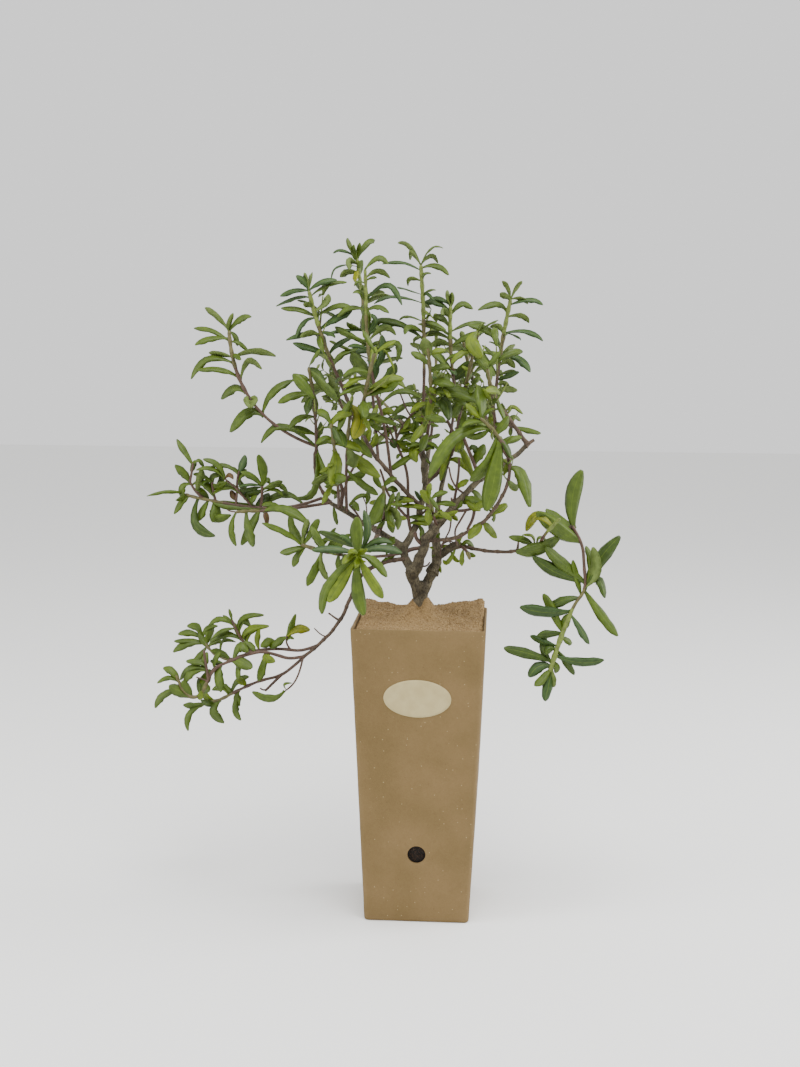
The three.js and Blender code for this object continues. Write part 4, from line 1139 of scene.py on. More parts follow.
def growth(part, index):
    """The side twigs and leaves of a shoot, by the seeded rule, and its finer growth."""
    route = routes[part["name"]]
    kind = LEAF_KINDS[part["kind"]]
    stem = (route, STEM_THICK, STEM_STEP)
    bare = part["bare"]
    leafy = length_of(route) * (1 - bare)
    pairs = max(2, math.floor(leafy / kind["pitch"] + 0.5))
    twigs, joints = [], []
    leaves = [leaf for leaf in LARGE_LEAVES if leaf["on"] == part["name"]]
    for pair in range(pairs + 1):
        up_to = pair / pairs
        place = mix_of(bare, 1, up_to * mix_of(PAIR_CROWDING, 1, up_to))
        seed = index * 100 + pair * 7
        pair_turn = part["turn"] + kind["pair_turn"] * (pairs - pair)
        closing = mix_of(1, TIP_CLOSING, up_to**4)
        size = mix_of(SMALLEST_PAIR, 1, math.sin(math.pi * mix_of(*PAIR_SIZES, up_to)))
        age = "young" if up_to > FULL_UP_TO else "full" if up_to > OLD_UP_TO else "old"
        leaves += leaf_pair(stem, place, pair_turn, size, closing, part, seed, age)
        joints.append((place, pair_turn))
    for twig in range(part["twigs"]):
        place = mix_of(bare, TWIGS_UP_TO, (twig + 0.4) / part["twigs"])
        seed = index * 100 + TWIG_SEEDS + twig
        first_turn, next_turn, scatter = TWIG_TURNS
        twig_turn = part["turn"] + first_turn + next_turn * twig + scatter * chance(seed + 0.4)
        for twig_route in side_twig(part, place, twig_turn, seed, TWIG_LENGTH, TWIG_THICK):
            if in_sky_gap(point_on(twig_route, GAP_PLACES)):
                continue
            branch = (twig_route, TWIG_THICK, TWIG_STEP)
            twigs.append(branch)
            for step, twig_place in enumerate(TWIG_PAIRS):
                pair_turn = 90 * (step + chance(seed + 0.7))
                age = "young" if step else "full"
                pair_seed = seed + 10 * (step + 1)
                leaves += leaf_pair(branch, twig_place, pair_turn, TWIG_LEAF, 1, part, pair_seed, age)
    for number in range(round(leafy / FINE_PITCH)):
        seed = index * 100 + FINE_SEEDS + number * 3
        place = mix_of(bare, FINE_UP_TO, chance(seed + 0.2))
        if chance(seed + 0.8) > FINE_SHARE[part["spray"]]:
            continue
        twig_turn = 360 * chance(seed + 0.5)
        for twig_route in side_twig(part, place, twig_turn, seed, FINE_LENGTH, FINE_THICK):
            if in_sky_gap(point_on(twig_route, GAP_PLACES)):
                continue
            branch = (twig_route, FINE_THICK, TWIG_STEP)
            twigs.append(branch)
            for step, twig_place in enumerate(FINE_PAIRS):
                size = mix_of(*FINE_LEAF, chance(seed + step + 0.6)) * FINE_LEAF_LENGTH / kind["length"]
                pair_turn = 90 * step + 60 * chance(seed)
                pair_seed = seed + step + 7
                leaves += leaf_pair(branch, twig_place, pair_turn, size, 1, part, pair_seed, "young")
    for number, (place, pair_turn) in enumerate(joints[:-1]):
        seed = index * 100 + TUFT_SEEDS + number * 5
        if place < FINE_UP_TO and chance(seed) < FINE_SHARE[part["spray"]]:
            size = mix_of(*TUFT_LEAF, chance(seed + 0.3)) * TUFT_LEAF_LENGTH / kind["length"]
            pair_turn += TUFT_TURN
            leaves += leaf_pair(stem, place, pair_turn, size, TUFT_CLOSING, part, seed + 2, "young")
    size = BUD_LEAF * TUFT_LEAF_LENGTH / kind["length"]
    leaves += leaf_pair(stem, 1, part["turn"] + 90, size, BUD_CLOSING, part, index + 0.5, "young")
    leaves = [leaf for leaf in leaves if not in_sky_gap(midrib(leaf, GAP_PLACES))]
    return twigs, leaves, joints


plants = {part["name"]: growth(part, index) for index, part in enumerate(SHOOTS)}

# Stems and twigs
# The shoots' own stems and their twigs: red-brown below, olive further up, and pale green at the
# tip, with a swollen sheath at each pair of leaves. The stems and twigs that stand out in the
# photograph follow courses read from it.
STEM_FINISHES = (("stem_red_brown", "#523a2a"), ("stem_olive", "#5f5a2c"), ("stem_pale_green", "#6d7e2c"))
STEM_ROUND = 2.2
STEM_END = (0.9, 0.7, 0.4)
TWIG_END = (0.9, 0.75, 0.5)
TWIG_TAPER = 0.7
CORNER_CUTS = (0.75, 0.25)
RULED_TWIG_TAPER = 0.8
STEM_POINTS = 0.7
SHEATH = (0.45, 2.8)
SWELL = {"upright": 0.3, "fine": 0.1, "bushy": 0.25, "inner": 0.15, "broad": 0.2, "star": 0.3}
SWOLLEN = {
    "spray_right_hanging": 0.7,
    "shoot_top_left": 0.1,
    "shoot_top_left_front": 0.05,
    "spray_left_upper": 0,
    "spray_left_lower": 0,
    "spray_low_left_over": 0,
    "spray_low_left_tip": 0.05,
    "spray_low_left_under": 0,
}
PALING = {
    "top": 2.9,
    "left": 1.2,
    "low": 1.3,
    "front": 2.2,
    "right": 4.8,
    "inner": 1.7,
    "back": 2.2,
    "shoot_arch": 1.2,
    "shoot_top_left": 2.5,
    "shoot_top_left_front": 2.7,
}
RULED_SHARE = {
    "top": 0.85,
    "left": 0.5,
    "front": 0.45,
    "low": 0.2,
    "right": 0.35,
    "inner": 0.75,
    "back": 1,
    "shoot_upper_left": 0,
    "sprig_knot": 0,
    "spray_right_arm": 0,
    "sprig_right": 0.3,
    "shoot_right_side": 0.5,
}
TWIG_PALING = 2.9
SHOWN_STEMS = {
    "spray_right_hanging": (
        -3.7,
        ((573, 528), (583, 545), (584, 565), (586, 590), (575, 603), (567, 622), (557, 648), (550, 672)),
    ),
    "spray_left_upper": (
        3.6,
        ((322, 498), (305, 504), (285, 508), (262, 508), (240, 506), (218, 502), (204, 499), (193, 497),
         (185, 494)),
    ),
    "spray_left_lower": (30.8, ((330, 503), (310, 506), (290, 509), (268, 511), (250, 511), (236, 512))),
    "spray_low_left_over": (
        -31.4,
        ((318, 645), (308, 649), (298, 651), (285, 649), (268, 649), (252, 651), (242, 656), (230, 660),
         (217, 656), (208, 648), (202, 638)),
    ),
    "spray_low_left_tip": (
        7.1,
        ((303, 657), (289, 659), (277, 655), (262, 651), (246, 655), (230, 661), (214, 668), (208, 680),
         (201, 696), (190, 698), (182, 689), (176, 675)),
    ),
    "spray_low_left_under": (
        -24.5,
        ((307, 654), (295, 665), (281, 676), (262, 680), (247, 686), (233, 693), (220, 700), (205, 703)),
    ),
    "shoot_top_left_front": (
        42,
        ((391, 476), (387, 440), (381, 410), (374, 384), (368, 352), (366, 320), (366, 290), (365, 269)),
    ),
}


def stem_finish(name, colour):
    """A smooth young stem with faint mottling and fine lengthwise relief."""
    finish, tree, shader, place = new_finish(name, 0.6)
    mottle = add(tree, "ShaderNodeTexNoise", {"Vector": place, "Scale": 400, "Detail": 4})
    shade = ramp(tree, mottle.outputs["Fac"], {0.3: "#b8b0a4", 0.7: "#ffffff"})
    tree.links.new(blend_colours(tree, 1.0, paint(colour), shade, "MULTIPLY"), shader.inputs["Base Color"])
    raise_bumps(tree, shader, mottle.outputs["Fac"], 0.12)
    return finish


def stem_line(route, thick, joints, bare, tip_kind, swell=0, paling=0, course=None):
    """A stem's line: its radius with a sheath at each joint, and the finish of each stretch."""
    steps = max(4, round(length_of(route) / STEM_POINTS))
    places = np.linspace(0, 1, steps + 1)
    points = point_on(route, places) if course is None else evenly_along(course, places)
    radii = mix_of(thick[0], thick[1], places) / 2
    runs = places * length_of(route)
    leafy = np.clip((places - bare) / max(1 - bare, 0.1), 0, 1)
    sheath = np.zeros(len(places))
    for place, _ in joints:
        sheath = np.maximum(sheath, np.exp(-(((runs - place * length_of(route)) / SHEATH[1]) ** 2)))
    radii = radii + SHEATH[0] * sheath * np.clip(leafy * 2, 0.3, 1) + swell * np.clip(leafy * 3 - 0.8, 0, 1)
    radii[-3:] *= STEM_END
    kinds = np.clip(leafy * paling - 0.3, 0, 2) + tip_kind
    return points, radii, np.clip(np.round(kinds), 0, 2)


def evenly_along(course, places):
    """The points at several places on a course of many short steps."""
    runs = np.concatenate(([0], np.linalg.norm(np.diff(course, axis=0), axis=1).cumsum()))
    return np.stack([np.interp(places * runs[-1], runs, column) for column in course.T], axis=1)


def shown_twig(thick, nearer, *pixels):
    """A thin twig read from the photograph: its thickness, how much nearer its tip is, its course."""
    return {"thick": thick, "nearer": nearer, "pixels": pixels}


SHOWN_TWIGS = {
    "bough_centre": [
        shown_twig(2.5, 5, (410, 533), (408, 519), (408, 497), (408, 475), (402, 455), (393, 438)),
        shown_twig(1.8, 6, (396, 441), (402, 426), (411, 415), (421, 405), (427, 392)),
        shown_twig(1.4, 3, (410, 416), (406, 409), (402, 398), (398, 388)),
        shown_twig(1.5, 4, (398, 445), (388, 438), (379, 433), (373, 424)),
        shown_twig(1.5, 2, (393, 438), (389, 428), (384, 420), (380, 414)),
        shown_twig(2.1, 2, (397, 438), (395, 427), (391, 418)),
        shown_twig(2.1, 8, (407, 519), (395, 504), (386, 491), (384, 480), (380, 469)),
    ],
    "bough_centre_right": [shown_twig(2.8, 3, (457, 440), (452, 430), (447, 420))],
    "bough_grey": [
        shown_twig(2.1, -3, (453, 508), (456, 492), (459, 470), (459, 458)),
        shown_twig(1.6, 4, (466, 495), (457, 489), (451, 479), (449, 467)),
        shown_twig(1.4, -4, (456, 510), (451, 520), (450, 530), (446, 537), (441, 546)),
        shown_twig(2.5, 3, (450, 511), (462, 511), (476, 508)),
        shown_twig(1.6, -2, (467, 511), (460, 521), (455, 529), (455, 537), (457, 545)),
        shown_twig(2.5, -2, (475, 509), (473, 519), (467, 530)),
        shown_twig(2.9, -6, (480, 480), (475, 466), (468, 449), (463, 436)),
    ],
    "spray_left_upper": [
        shown_twig(2.4, 4, (262, 507), (262, 496), (262, 486)),
        shown_twig(1.9, 4, (237, 505), (237, 492), (237, 480), (239, 471)),
        shown_twig(2.1, 4, (215, 501), (213, 491), (212, 482)),
        shown_twig(2.1, 4, (204, 499), (195, 491), (190, 482)),
        shown_twig(1.9, 4, (191, 481), (192, 471), (193, 463)),
        shown_twig(1.7, 6, (252, 507), (243, 496), (234, 486), (225, 479)),
        shown_twig(1.3, 2, (222, 504), (228, 511), (236, 512)),
    ],
    "spray_low_left_over": [
        shown_twig(2.2, 3, (251, 651), (244, 643), (239, 635), (235, 627), (232, 620)),
        shown_twig(1.5, 2, (291, 650), (286, 643), (287, 636)),
    ],
    "spray_low_left_tip": [
        shown_twig(2.2, 3, (208, 680), (207, 670), (205, 660), (204, 650)),
        shown_twig(1.2, 2, (209, 683), (203, 679), (196, 677)),
    ],
    "spray_low_left_under": [
        shown_twig(2.3, 0, (282, 675), (273, 683), (265, 691)),
        shown_twig(1.4, 0, (266, 690), (263, 690), (260, 688)),
    ],
    "bough_dark_low": [shown_twig(3.4, -4, (405, 552), (412, 549), (421, 548), (428, 541))],
    "bough_grey_low": [
        shown_twig(3.2, 4, (417, 545), (416, 539), (415, 532)),
        shown_twig(1.4, 3, (421, 568), (426, 567), (430, 562)),
    ],
    "bough_right_low": [shown_twig(1.1, 3, (440, 550), (445, 542), (452, 541), (456, 545))],
    "bough_knot": [shown_twig(1.1, 5, (452, 549), (450, 541), (445, 541), (441, 548), (440, 556))],
    "bough_left": [
        shown_twig(2.9, 3, (344, 503), (343, 490), (339, 480), (336, 470)),
        shown_twig(2.1, 9, (343, 505), (345, 487), (350, 473), (358, 461), (367, 449)),
        shown_twig(1.8, 3, (362, 519), (356, 512), (349, 505)),
        shown_twig(1.1, 2, (369, 520), (367, 506), (363, 497)),
    ],
    "bough_low_left": [
        shown_twig(1.1, 4, (327, 637), (321, 635), (314, 628)),
        shown_twig(1.5, 5, (303, 658), (299, 674), (293, 685), (285, 691)),
    ],
}


def ray_through(pixel):
    """The direction from the camera through a pixel of the photograph, 1 long in depth."""
    aside = (pixel[0] - PHOTO_WIDTH_PIXELS / 2) / FOCAL_PIXELS
    down = (pixel[1] - PHOTO_HEIGHT_PIXELS / 2) / FOCAL_PIXELS
    return np.array(forward + right * aside - top * down)


def root_on(carried_by, pixel):
    """The point on these stems that the line of sight through a pixel passes closest to."""
    line = unit(ray_through(pixel))
    points = np.vstack(carried_by)
    aside = points - np.array(CAMERA_PLACE)
    return points[np.argmin(np.linalg.norm(aside - (aside @ line)[:, None] * line, axis=1))]


def shown_course(root, pixels, nearer):
    """A smooth course that starts at a root and shows at these pixels of the photograph."""
    depths = depth_of(root) - nearer * np.linspace(0, 1, len(pixels))
    course = [np.array(CAMERA_PLACE) + ray_through(pixel) * depth for pixel, depth in zip(pixels, depths)]
    course = np.array([root] + course[1:])
    for _ in range(3):
        cuts = [near * course[:-1] + (1 - near) * course[1:] for near in CORNER_CUTS]
        course = np.vstack((course[:1], np.stack(cuts, axis=1).reshape(-1, 3), course[-1:]))
    return course


stem_lines = []
twig_lines = []
carriers = {name: [point_on(route, np.linspace(0, 1, ROUTE_PARTS))] for name, route in routes.items()}
for name, (nearer, pixels) in SHOWN_STEMS.items():
    carriers[name] = [shown_course(routes[name][0], pixels, nearer)]
ruled_share = {}
for part in SHOOTS:
    name = part["name"]
    twigs, leaves, joints = plants[name]
    ruled_share[name] = 0 if name in SHOWN_STEMS else RULED_SHARE.get(name, RULED_SHARE[part["spray"]])
    thick = (STEM_ROUND, STEM_THICK[1])
    swell = SWOLLEN.get(name, SWELL[part["kind"]])
    course = carriers[name][0] if name in SHOWN_STEMS else None
    paling = PALING.get(name, PALING[part["spray"]])
    stem_lines.append(stem_line(routes[name], thick, joints, part["bare"], 0, swell, paling, course))
    for route, thick, _ in twigs if ruled_share[name] else []:
        thick = (thick[0], thick[1] * RULED_TWIG_TAPER)
        twig_lines.append(stem_line(route, thick, [], 0, 1, 0, TWIG_PALING))
for name, rows in SHOWN_TWIGS.items():
    for row in rows:
        course = shown_course(root_on(carriers[name], row["pixels"][0]), row["pixels"], row["nearer"])
        radii = np.linspace(row["thick"], row["thick"] * TWIG_TAPER, len(course)) / 2
        radii[-3:] *= TWIG_END
        twig_lines.append((course, radii, np.zeros(len(course))))
        carriers[name].append(course)
stem_finishes = [stem_finish(*finish) for finish in STEM_FINISHES]
stem_tubes = tube_tree("stem_tubes", stem_finishes)
shoot_names = [part["name"] for part in SHOOTS]
stems = grown("shoot_stems", line_mesh("stem_lines", stem_lines), stem_tubes, {"Sides": 9})
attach(stems, "root")
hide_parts(*shoot_names)
twigs_piece = grown("side_twigs", line_mesh("twig_lines", twig_lines), stem_tubes, {"Sides": 7})
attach(twigs_piece, "root")
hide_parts(*shoot_names)

# Shown leaves
# The leaves that stand out in the photograph, read from it. Each grows from its own shoot's
# stem, where that stem passes closest to the leaf's root in the picture.
NEARER_RANGE = 7
NEARER_SHARE = 0.35


def shown(root_x, root_y, middle_x, middle_y, tip_x, tip_y, width, facing, nearer=0, age="full"):
    """A leaf seen in the photograph: pixels of its root, middle and tip, its width, how far its
    upper side turns to the camera in degrees, and how much nearer its tip is than its root. Its
    age is young, full or old, or else the name of its own colour."""
    pixels = ((root_x, root_y), (middle_x, middle_y), (tip_x, tip_y))
    return {"pixels": pixels, "width": width, "facing": facing, "nearer": nearer, "age": age}


def young(*values):
    """A young leaf seen in the photograph."""
    return {**shown(*values), "age": "young"}


def old(*values):
    """An old leaf seen in the photograph."""
    return {**shown(*values), "age": "old"}


SHOWN_LEAVES = {}
SHOWN_LEAVES["shoot_top_middle"] = [
    shown(419, 254, 410, 246, 398, 243, 4.5, -38),
    shown(422, 254, 431, 248, 443, 248, 4, 22),
    shown(421, 258, 431, 255, 438, 263, 4.5, -40),
    shown(417, 258, 412, 252, 410, 260, 4.5, -47, -8),
    shown(418, 271, 402, 262, 382, 264, 4.5, 32),
    shown(421, 268, 437, 265, 449, 275, 6, 47),
    shown(420, 279, 424, 274, 430, 273, 6, 60, 14),
    shown(415, 281, 410, 278, 408, 286, 4.5, -40, -6),
    shown(413, 295, 406, 289, 397, 287, 3.5, 20),
    shown(422, 295, 429, 290, 436, 290, 3.5, 27),
    shown(422, 297, 427, 293, 434, 300, 4, 47),
    shown(415, 304, 393, 296, 374, 304, 4.5, 32),
    shown(418, 322, 408, 316, 399, 320, 4, 27),
    shown(419, 320, 430, 314, 421, 314, 4, 32),
    shown(419, 323, 432, 322, 446, 330, 5, 47),
    shown(417, 333, 410, 326, 405, 334, 6, 60, 10),
    old(418, 340, 398, 322, 371, 321, 7, 45, 1),
]
SHOWN_LEAVES["shoot_top_right"] = [
    young(512, 296, 508, 287, 502, 281, 4, -47),
    young(513, 295, 516, 287, 522, 281, 4, -47),
    shown(511, 300, 505, 295, 500, 293, 5.5, -50, 8),
    shown(515, 299, 521, 298, 528, 304, 4, -42),
    shown(516, 306, 530, 299, 543, 305, 5.5, 42),
    shown(511, 314, 497, 303, 478, 310, 6.5, 47),
    shown(515, 318, 522, 315, 529, 323, 5, -42),
    shown(511, 334, 528, 331, 543, 341, 6, 37),
    shown(513, 334, 517, 336, 521, 340, 3.5, 27),
    shown(506, 336, 500, 326, 490, 327, 5.5, -40),
    shown(497, 350, 491, 331, 468, 325, 7.5, 45),
    shown(500, 358, 507, 349, 515, 345, 4.5, -47),
    shown(500, 352, 521, 359, 530, 372, 7.5, 50),
    shown(499, 366, 508, 360, 515, 368, 6, -45, 0, "yellow"),
    shown(498, 376, 508, 371, 516, 371, 4, 42),
    shown(498, 380, 508, 377, 519, 372, 5, 47),
    shown(496, 386, 503, 382, 510, 387, 4.5, -42),
    shown(496, 390, 507, 388, 517, 391, 6, -47),
    shown(498, 365, 491, 352, 482, 345, 4, 37),
    shown(494, 375, 484, 361, 476, 352, 7, 45),
]
SHOWN_LEAVES["shoot_left_centre"] = [
    shown(311, 287, 305, 281, 296, 276, 6.5, 55),
    young(310, 284, 307, 279, 304, 273, 4, -47),
    young(311, 284, 311, 279, 312, 273, 4, -45),
    shown(308, 290, 294, 290, 280, 296, 5.5, 47),
    shown(310, 298, 297, 297, 276, 306, 4.5, 37),
    shown(316, 317, 300, 309, 281, 308, 6, 40),
    shown(316, 308, 309, 304, 303, 304, 5.5, -45, 6),
    shown(316, 318, 303, 322, 295, 339, 5.5, 37),
    shown(320, 335, 305, 333, 286, 340, 5.5, 42),
    shown(321, 336, 310, 332, 300, 337, 5.5, -47, 8),
    shown(325, 355, 310, 347, 293, 343, 7, 45),
    shown(316, 295, 328, 284, 347, 282, 5, 37),
    shown(313, 288, 322, 281, 337, 280, 6, 47),
    shown(320, 310, 327, 303, 328, 294, 6.5, -55),
    shown(322, 315, 337, 305, 353, 309, 6, 47),
    shown(323, 328, 336, 317, 352, 311, 7.5, 50),
    shown(325, 330, 330, 333, 334, 337, 5.5, 45),
    shown(328, 355, 337, 344, 352, 337, 5.5, 47),
]
SHOWN_LEAVES["shoot_upper_left"] = [
    shown(224, 329, 217, 315, 205, 308, 5.5, -47),
    young(226, 333, 228, 324, 233, 313, 4.5, -45),
    shown(230, 330, 240, 318, 251, 317, 7, 50),
    shown(230, 331, 236, 336, 238, 346, 5.5, 40),
    shown(225, 342, 212, 330, 194, 328, 5.5, 42),
    shown(224, 339, 209, 338, 195, 345, 6.5, 45),
    shown(228, 343, 239, 342, 249, 352, 4.5, 37),
    shown(230, 358, 220, 353, 209, 353, 5, -42),
    shown(233, 358, 254, 350, 276, 356, 6, -42),
    shown(232, 355, 236, 355, 240, 360, 5, 60, 8),
    shown(230, 364, 207, 358, 191, 379, 8, 40),
    shown(237, 379, 221, 369, 196, 370, 6, 42),
    shown(241, 380, 248, 360, 262, 369, 6, -42),
    shown(247, 393, 234, 387, 221, 399, 8.5, 50),
    shown(250, 397, 247, 401, 250, 408, 6, -70, 9),
    shown(251, 397, 255, 400, 251, 408, 6, -70, 9),
    shown(265, 411, 272, 391, 293, 380, 8, 45),
    shown(267, 414, 247, 411, 230, 432, 10.5, 50),
]
SHOWN_LEAVES["shoot_top_left"] = [
    young(353, 258, 349, 247, 347, 238, 5, -40),
    young(356, 258, 358, 250, 360, 243, 5.5, 50, 5),
    shown(357, 254, 366, 243, 375, 240, 6.5, 50),
    shown(355, 262, 353, 253, 354, 245, 5.5, 60, 6),
    shown(353, 258, 343, 250, 333, 253, 4, 37),
    shown(355, 264, 349, 261, 349, 270, 6.5, -50, 7),
    shown(355, 267, 338, 266, 331, 279, 4, 20),
    shown(355, 274, 347, 271, 340, 277, 6, -40),
    shown(357, 269, 355, 275, 356, 281, 5.5, 60, 10, "yellow"),
    shown(362, 277, 361, 268, 362, 260, 6, 47),
    shown(365, 334, 363, 325, 364, 316, 7.5, -60, 9),
    shown(358, 332, 352, 328, 347, 322, 5.5, 40),
    shown(360, 347, 349, 333, 335, 327, 6, 47),
    shown(358, 331, 343, 330, 327, 334, 4, 42),
    shown(359, 360, 343, 348, 329, 341, 4, 24),
    shown(358, 350, 344, 352, 333, 366, 6.5, 40),
    shown(369, 382, 360, 366, 351, 354, 9, -45),
    shown(367, 350, 377, 342, 390, 347, 5.5, 37),
]
SHOWN_LEAVES["shoot_top_left_front"] = [
    shown(366, 268, 378, 257, 388, 264, 6.5, 45),
    shown(366, 278, 378, 270, 390, 278, 5, -42),
    shown(367, 281, 372, 277, 377, 278, 4, 32),
    shown(364, 283, 358, 281, 354, 286, 4, 27),
    shown(364, 304, 361, 292, 353, 293, 6, 40),
    shown(368, 298, 388, 284, 402, 305, 6, 47),
    shown(364, 311, 350, 307, 337, 317, 5.5, 47),
    shown(367, 311, 378, 306, 389, 313, 5.5, 45),
    shown(374, 332, 376, 322, 371, 314, 6, 45),
    shown(371, 341, 384, 327, 396, 335, 5.5, -42),
    shown(379, 347, 397, 342, 397, 362, 7, 40),
    old(384, 373, 384, 354, 382, 335, 7.5, 40, 6),
    old(383, 381, 377, 367, 367, 360, 8.5, 40),
    old(384, 386, 391, 376, 395, 363, 8.5, 50),
    young(386, 404, 400, 390, 421, 398, 6, 40),
    shown(371, 385, 361, 368, 351, 353, 9, 70),
    shown(366, 342, 365, 326, 366, 308, 7, 70),
    shown(357, 344, 346, 335, 335, 327, 5, 50),
    shown(366, 350, 357, 345, 348, 347, 4.5, 50),
    shown(369, 352, 380, 349, 392, 351, 5, 50),
]
SHOWN_LEAVES["shoot_right_centre"] = [
    young(449, 306, 447, 298, 447, 290, 5, -40),
    young(451, 308, 453, 300, 452, 292, 5, -40),
    shown(450, 312, 438, 302, 424, 302, 6.5, 45),
    shown(450, 306, 440, 298, 428, 300, 5.5, 47),
    shown(451, 316, 461, 303, 473, 309, 7, 40),
    shown(449, 328, 442, 317, 433, 317, 6.5, 50),
    shown(449, 318, 444, 311, 441, 315, 6.5, -50, 7),
    shown(449, 335, 435, 326, 418, 324, 5.5, 40),
    shown(449, 339, 434, 332, 421, 338, 5.5, 47),
    shown(449, 346, 440, 341, 431, 346, 7, -45),
    shown(451, 347, 466, 336, 484, 332, 7, 45),
    shown(453, 332, 468, 323, 486, 323, 5, 37),
    shown(451, 366, 459, 353, 474, 349, 6.5, 45),
    old(451, 380, 462, 373, 474, 362, 9, 65, 6),
    shown(452, 392, 443, 382, 432, 377, 6.5, 40),
    old(451, 372, 442, 362, 436, 352, 6.5, 45),
]
SHOWN_LEAVES["shoot_front_middle"] = [
    old(429, 409, 434, 408, 440, 412, 5.5, 40),
    shown(429, 358, 428, 347, 423, 338, 9, -60, 5),
    young(428, 356, 436, 350, 446, 350, 6.5, 40),
    young(429, 366, 421, 356, 411, 352, 6.5, 50),
    young(430, 372, 438, 366, 450, 367, 6.5, 45),
    shown(430, 384, 440, 380, 455, 386, 8.5, 50),
    shown(430, 392, 455, 389, 481, 403, 10, 60, 8),
    old(430, 402, 445, 401, 449, 420, 10, 55, 6),
    shown(429, 404, 419, 404, 410, 413, 6, 40),
    old(427, 425, 432, 424, 439, 426, 4, 42),
]
SHOWN_LEAVES["shoot_front_right"] = [
    shown(478, 331, 470, 342, 482, 358, 11, 55, 5),
    shown(476, 350, 484, 361, 495, 376, 8.5, 50, 5),
    shown(474, 352, 462, 352, 451, 363, 6, 47),
    old(464, 396, 459, 408, 452, 418, 7.5, 50),
    shown(460, 412, 468, 404, 479, 407, 6.5, 45),
    young(458, 424, 463, 436, 462, 452, 6, 45),
    young(456, 438, 464, 458, 473, 479, 6.5, 45),
    young(456, 440, 444, 462, 440, 481, 5.5, 40),
]
SHOWN_LEAVES["shoot_front_left"] = [
    shown(371, 395, 386, 379, 404, 379, 8.5, 50),
    shown(371, 397, 386, 387, 399, 383, 7.5, 50),
    shown(369, 380, 356, 378, 343, 388, 6, 40),
    shown(367, 372, 354, 369, 343, 377, 6, 40),
    young(368, 386, 354, 386, 340, 395, 5, 42),
    shown(366, 395, 359, 386, 348, 393, 7.5, -40),
]
SHOWN_LEAVES["shoot_yellow"] = [
    shown(347, 405, 361, 419, 353, 438, 11, 70, 5, "yellow"),
    shown(349, 452, 362, 461, 380, 477, 11, 50, 6),
    shown(347, 449, 354, 458, 355, 468, 11, -50, 4),
    old(347, 470, 361, 485, 378, 495, 7, 45),
    old(350, 428, 358, 445, 372, 458, 7.5, 45),
    old(352, 400, 344, 411, 338, 430, 7.5, 45),
]
SHOWN_LEAVES["shoot_left_inner"] = [
    shown(337, 449, 337, 466, 331, 485, 10, 65, 6),
    old(332, 426, 340, 433, 344, 446, 10, 55, 6),
    shown(332, 424, 325, 413, 317, 410, 7.5, 50),
    shown(331, 426, 338, 415, 352, 414, 7.5, 45),
    shown(334, 440, 325, 437, 316, 444, 6, 47),
    shown(334, 445, 348, 442, 362, 451, 7.5, 45),
]
SHOWN_LEAVES["shoot_left_tall"] = [
    shown(311, 395, 294, 394, 278, 403, 8, 45),
    old(312, 396, 307, 404, 308, 414, 7.5, 55, 5),
    shown(314, 420, 315, 402, 307, 387, 8.5, -50, 4),
    shown(313, 417, 299, 417, 289, 428, 7, 45),
    shown(314, 435, 304, 429, 294, 427, 6.5, 50),
    shown(314, 446, 282, 425, 261, 443, 7.5, 40),
    shown(315, 441, 319, 430, 321, 422, 6.5, 45),
    shown(316, 446, 336, 440, 360, 452, 7, 47),
    shown(314, 464, 322, 472, 329, 485, 8, 50, 4),
    young(330, 485, 316, 490, 297, 498, 7, 40),
    shown(309, 370, 320, 384, 338, 402, 8.5, 40),
    old(309, 368, 318, 372, 326, 386, 7.5, 45),
    shown(311, 382, 301, 376, 292, 381, 6.5, 45),
]
SHOWN_LEAVES["shoot_arch"] = [
    young(496, 441, 495, 476, 486, 511, 11.5, 80, 4),
    young(489, 430, 453, 436, 429, 478, 11, 50, 8),
    shown(492, 440, 488, 466, 470, 481, 10, 50, -6),
    shown(508, 468, 523, 475, 530, 507, 10, 60, 6, "green"),
    shown(507, 480, 512, 487, 517, 491, 7.5, -50),
    old(500, 437, 507, 446, 511, 458, 5.5, 47),
    old(493, 436, 500, 427, 508, 416, 7.5, 50),
    young(481, 420, 475, 411, 466, 404, 6.5, 45),
    shown(481, 419, 483, 402, 479, 385, 10, 50, -8),
    young(481, 420, 487, 411, 494, 409, 4, 37),
    shown(505, 445, 513, 438, 522, 437, 5, 47),
    shown(484, 424, 472, 420, 462, 427, 6, 40),
    old(488, 430, 480, 437, 467, 437, 6.5, 40),
]
SHOWN_LEAVES["sprig_right"] = [
    young(506, 418, 503, 410, 502, 403, 4, 42),
    young(507, 416, 511, 409, 512, 405, 3.5, 42),
    shown(505, 412, 513, 406, 523, 414, 4.5, 42),
    shown(509, 420, 514, 416, 521, 421, 4.5, 47),
    shown(505, 412, 494, 409, 490, 418, 3.5, 32),
    shown(512, 428, 526, 429, 541, 433, 5.5, 47),
]
SHOWN_LEAVES["sprig_inner_right"] = [
    shown(431, 505, 425, 498, 421, 490, 7, 50),
    young(432, 508, 427, 515, 430, 524, 7, 50),
    shown(432, 505, 445, 502, 456, 505, 5.5, 40),
    young(433, 513, 446, 516, 458, 511, 5, 47),
    shown(431, 500, 438, 493, 448, 492, 5, 47),
    young(430, 499, 428, 490, 431, 483, 5, 45),
]
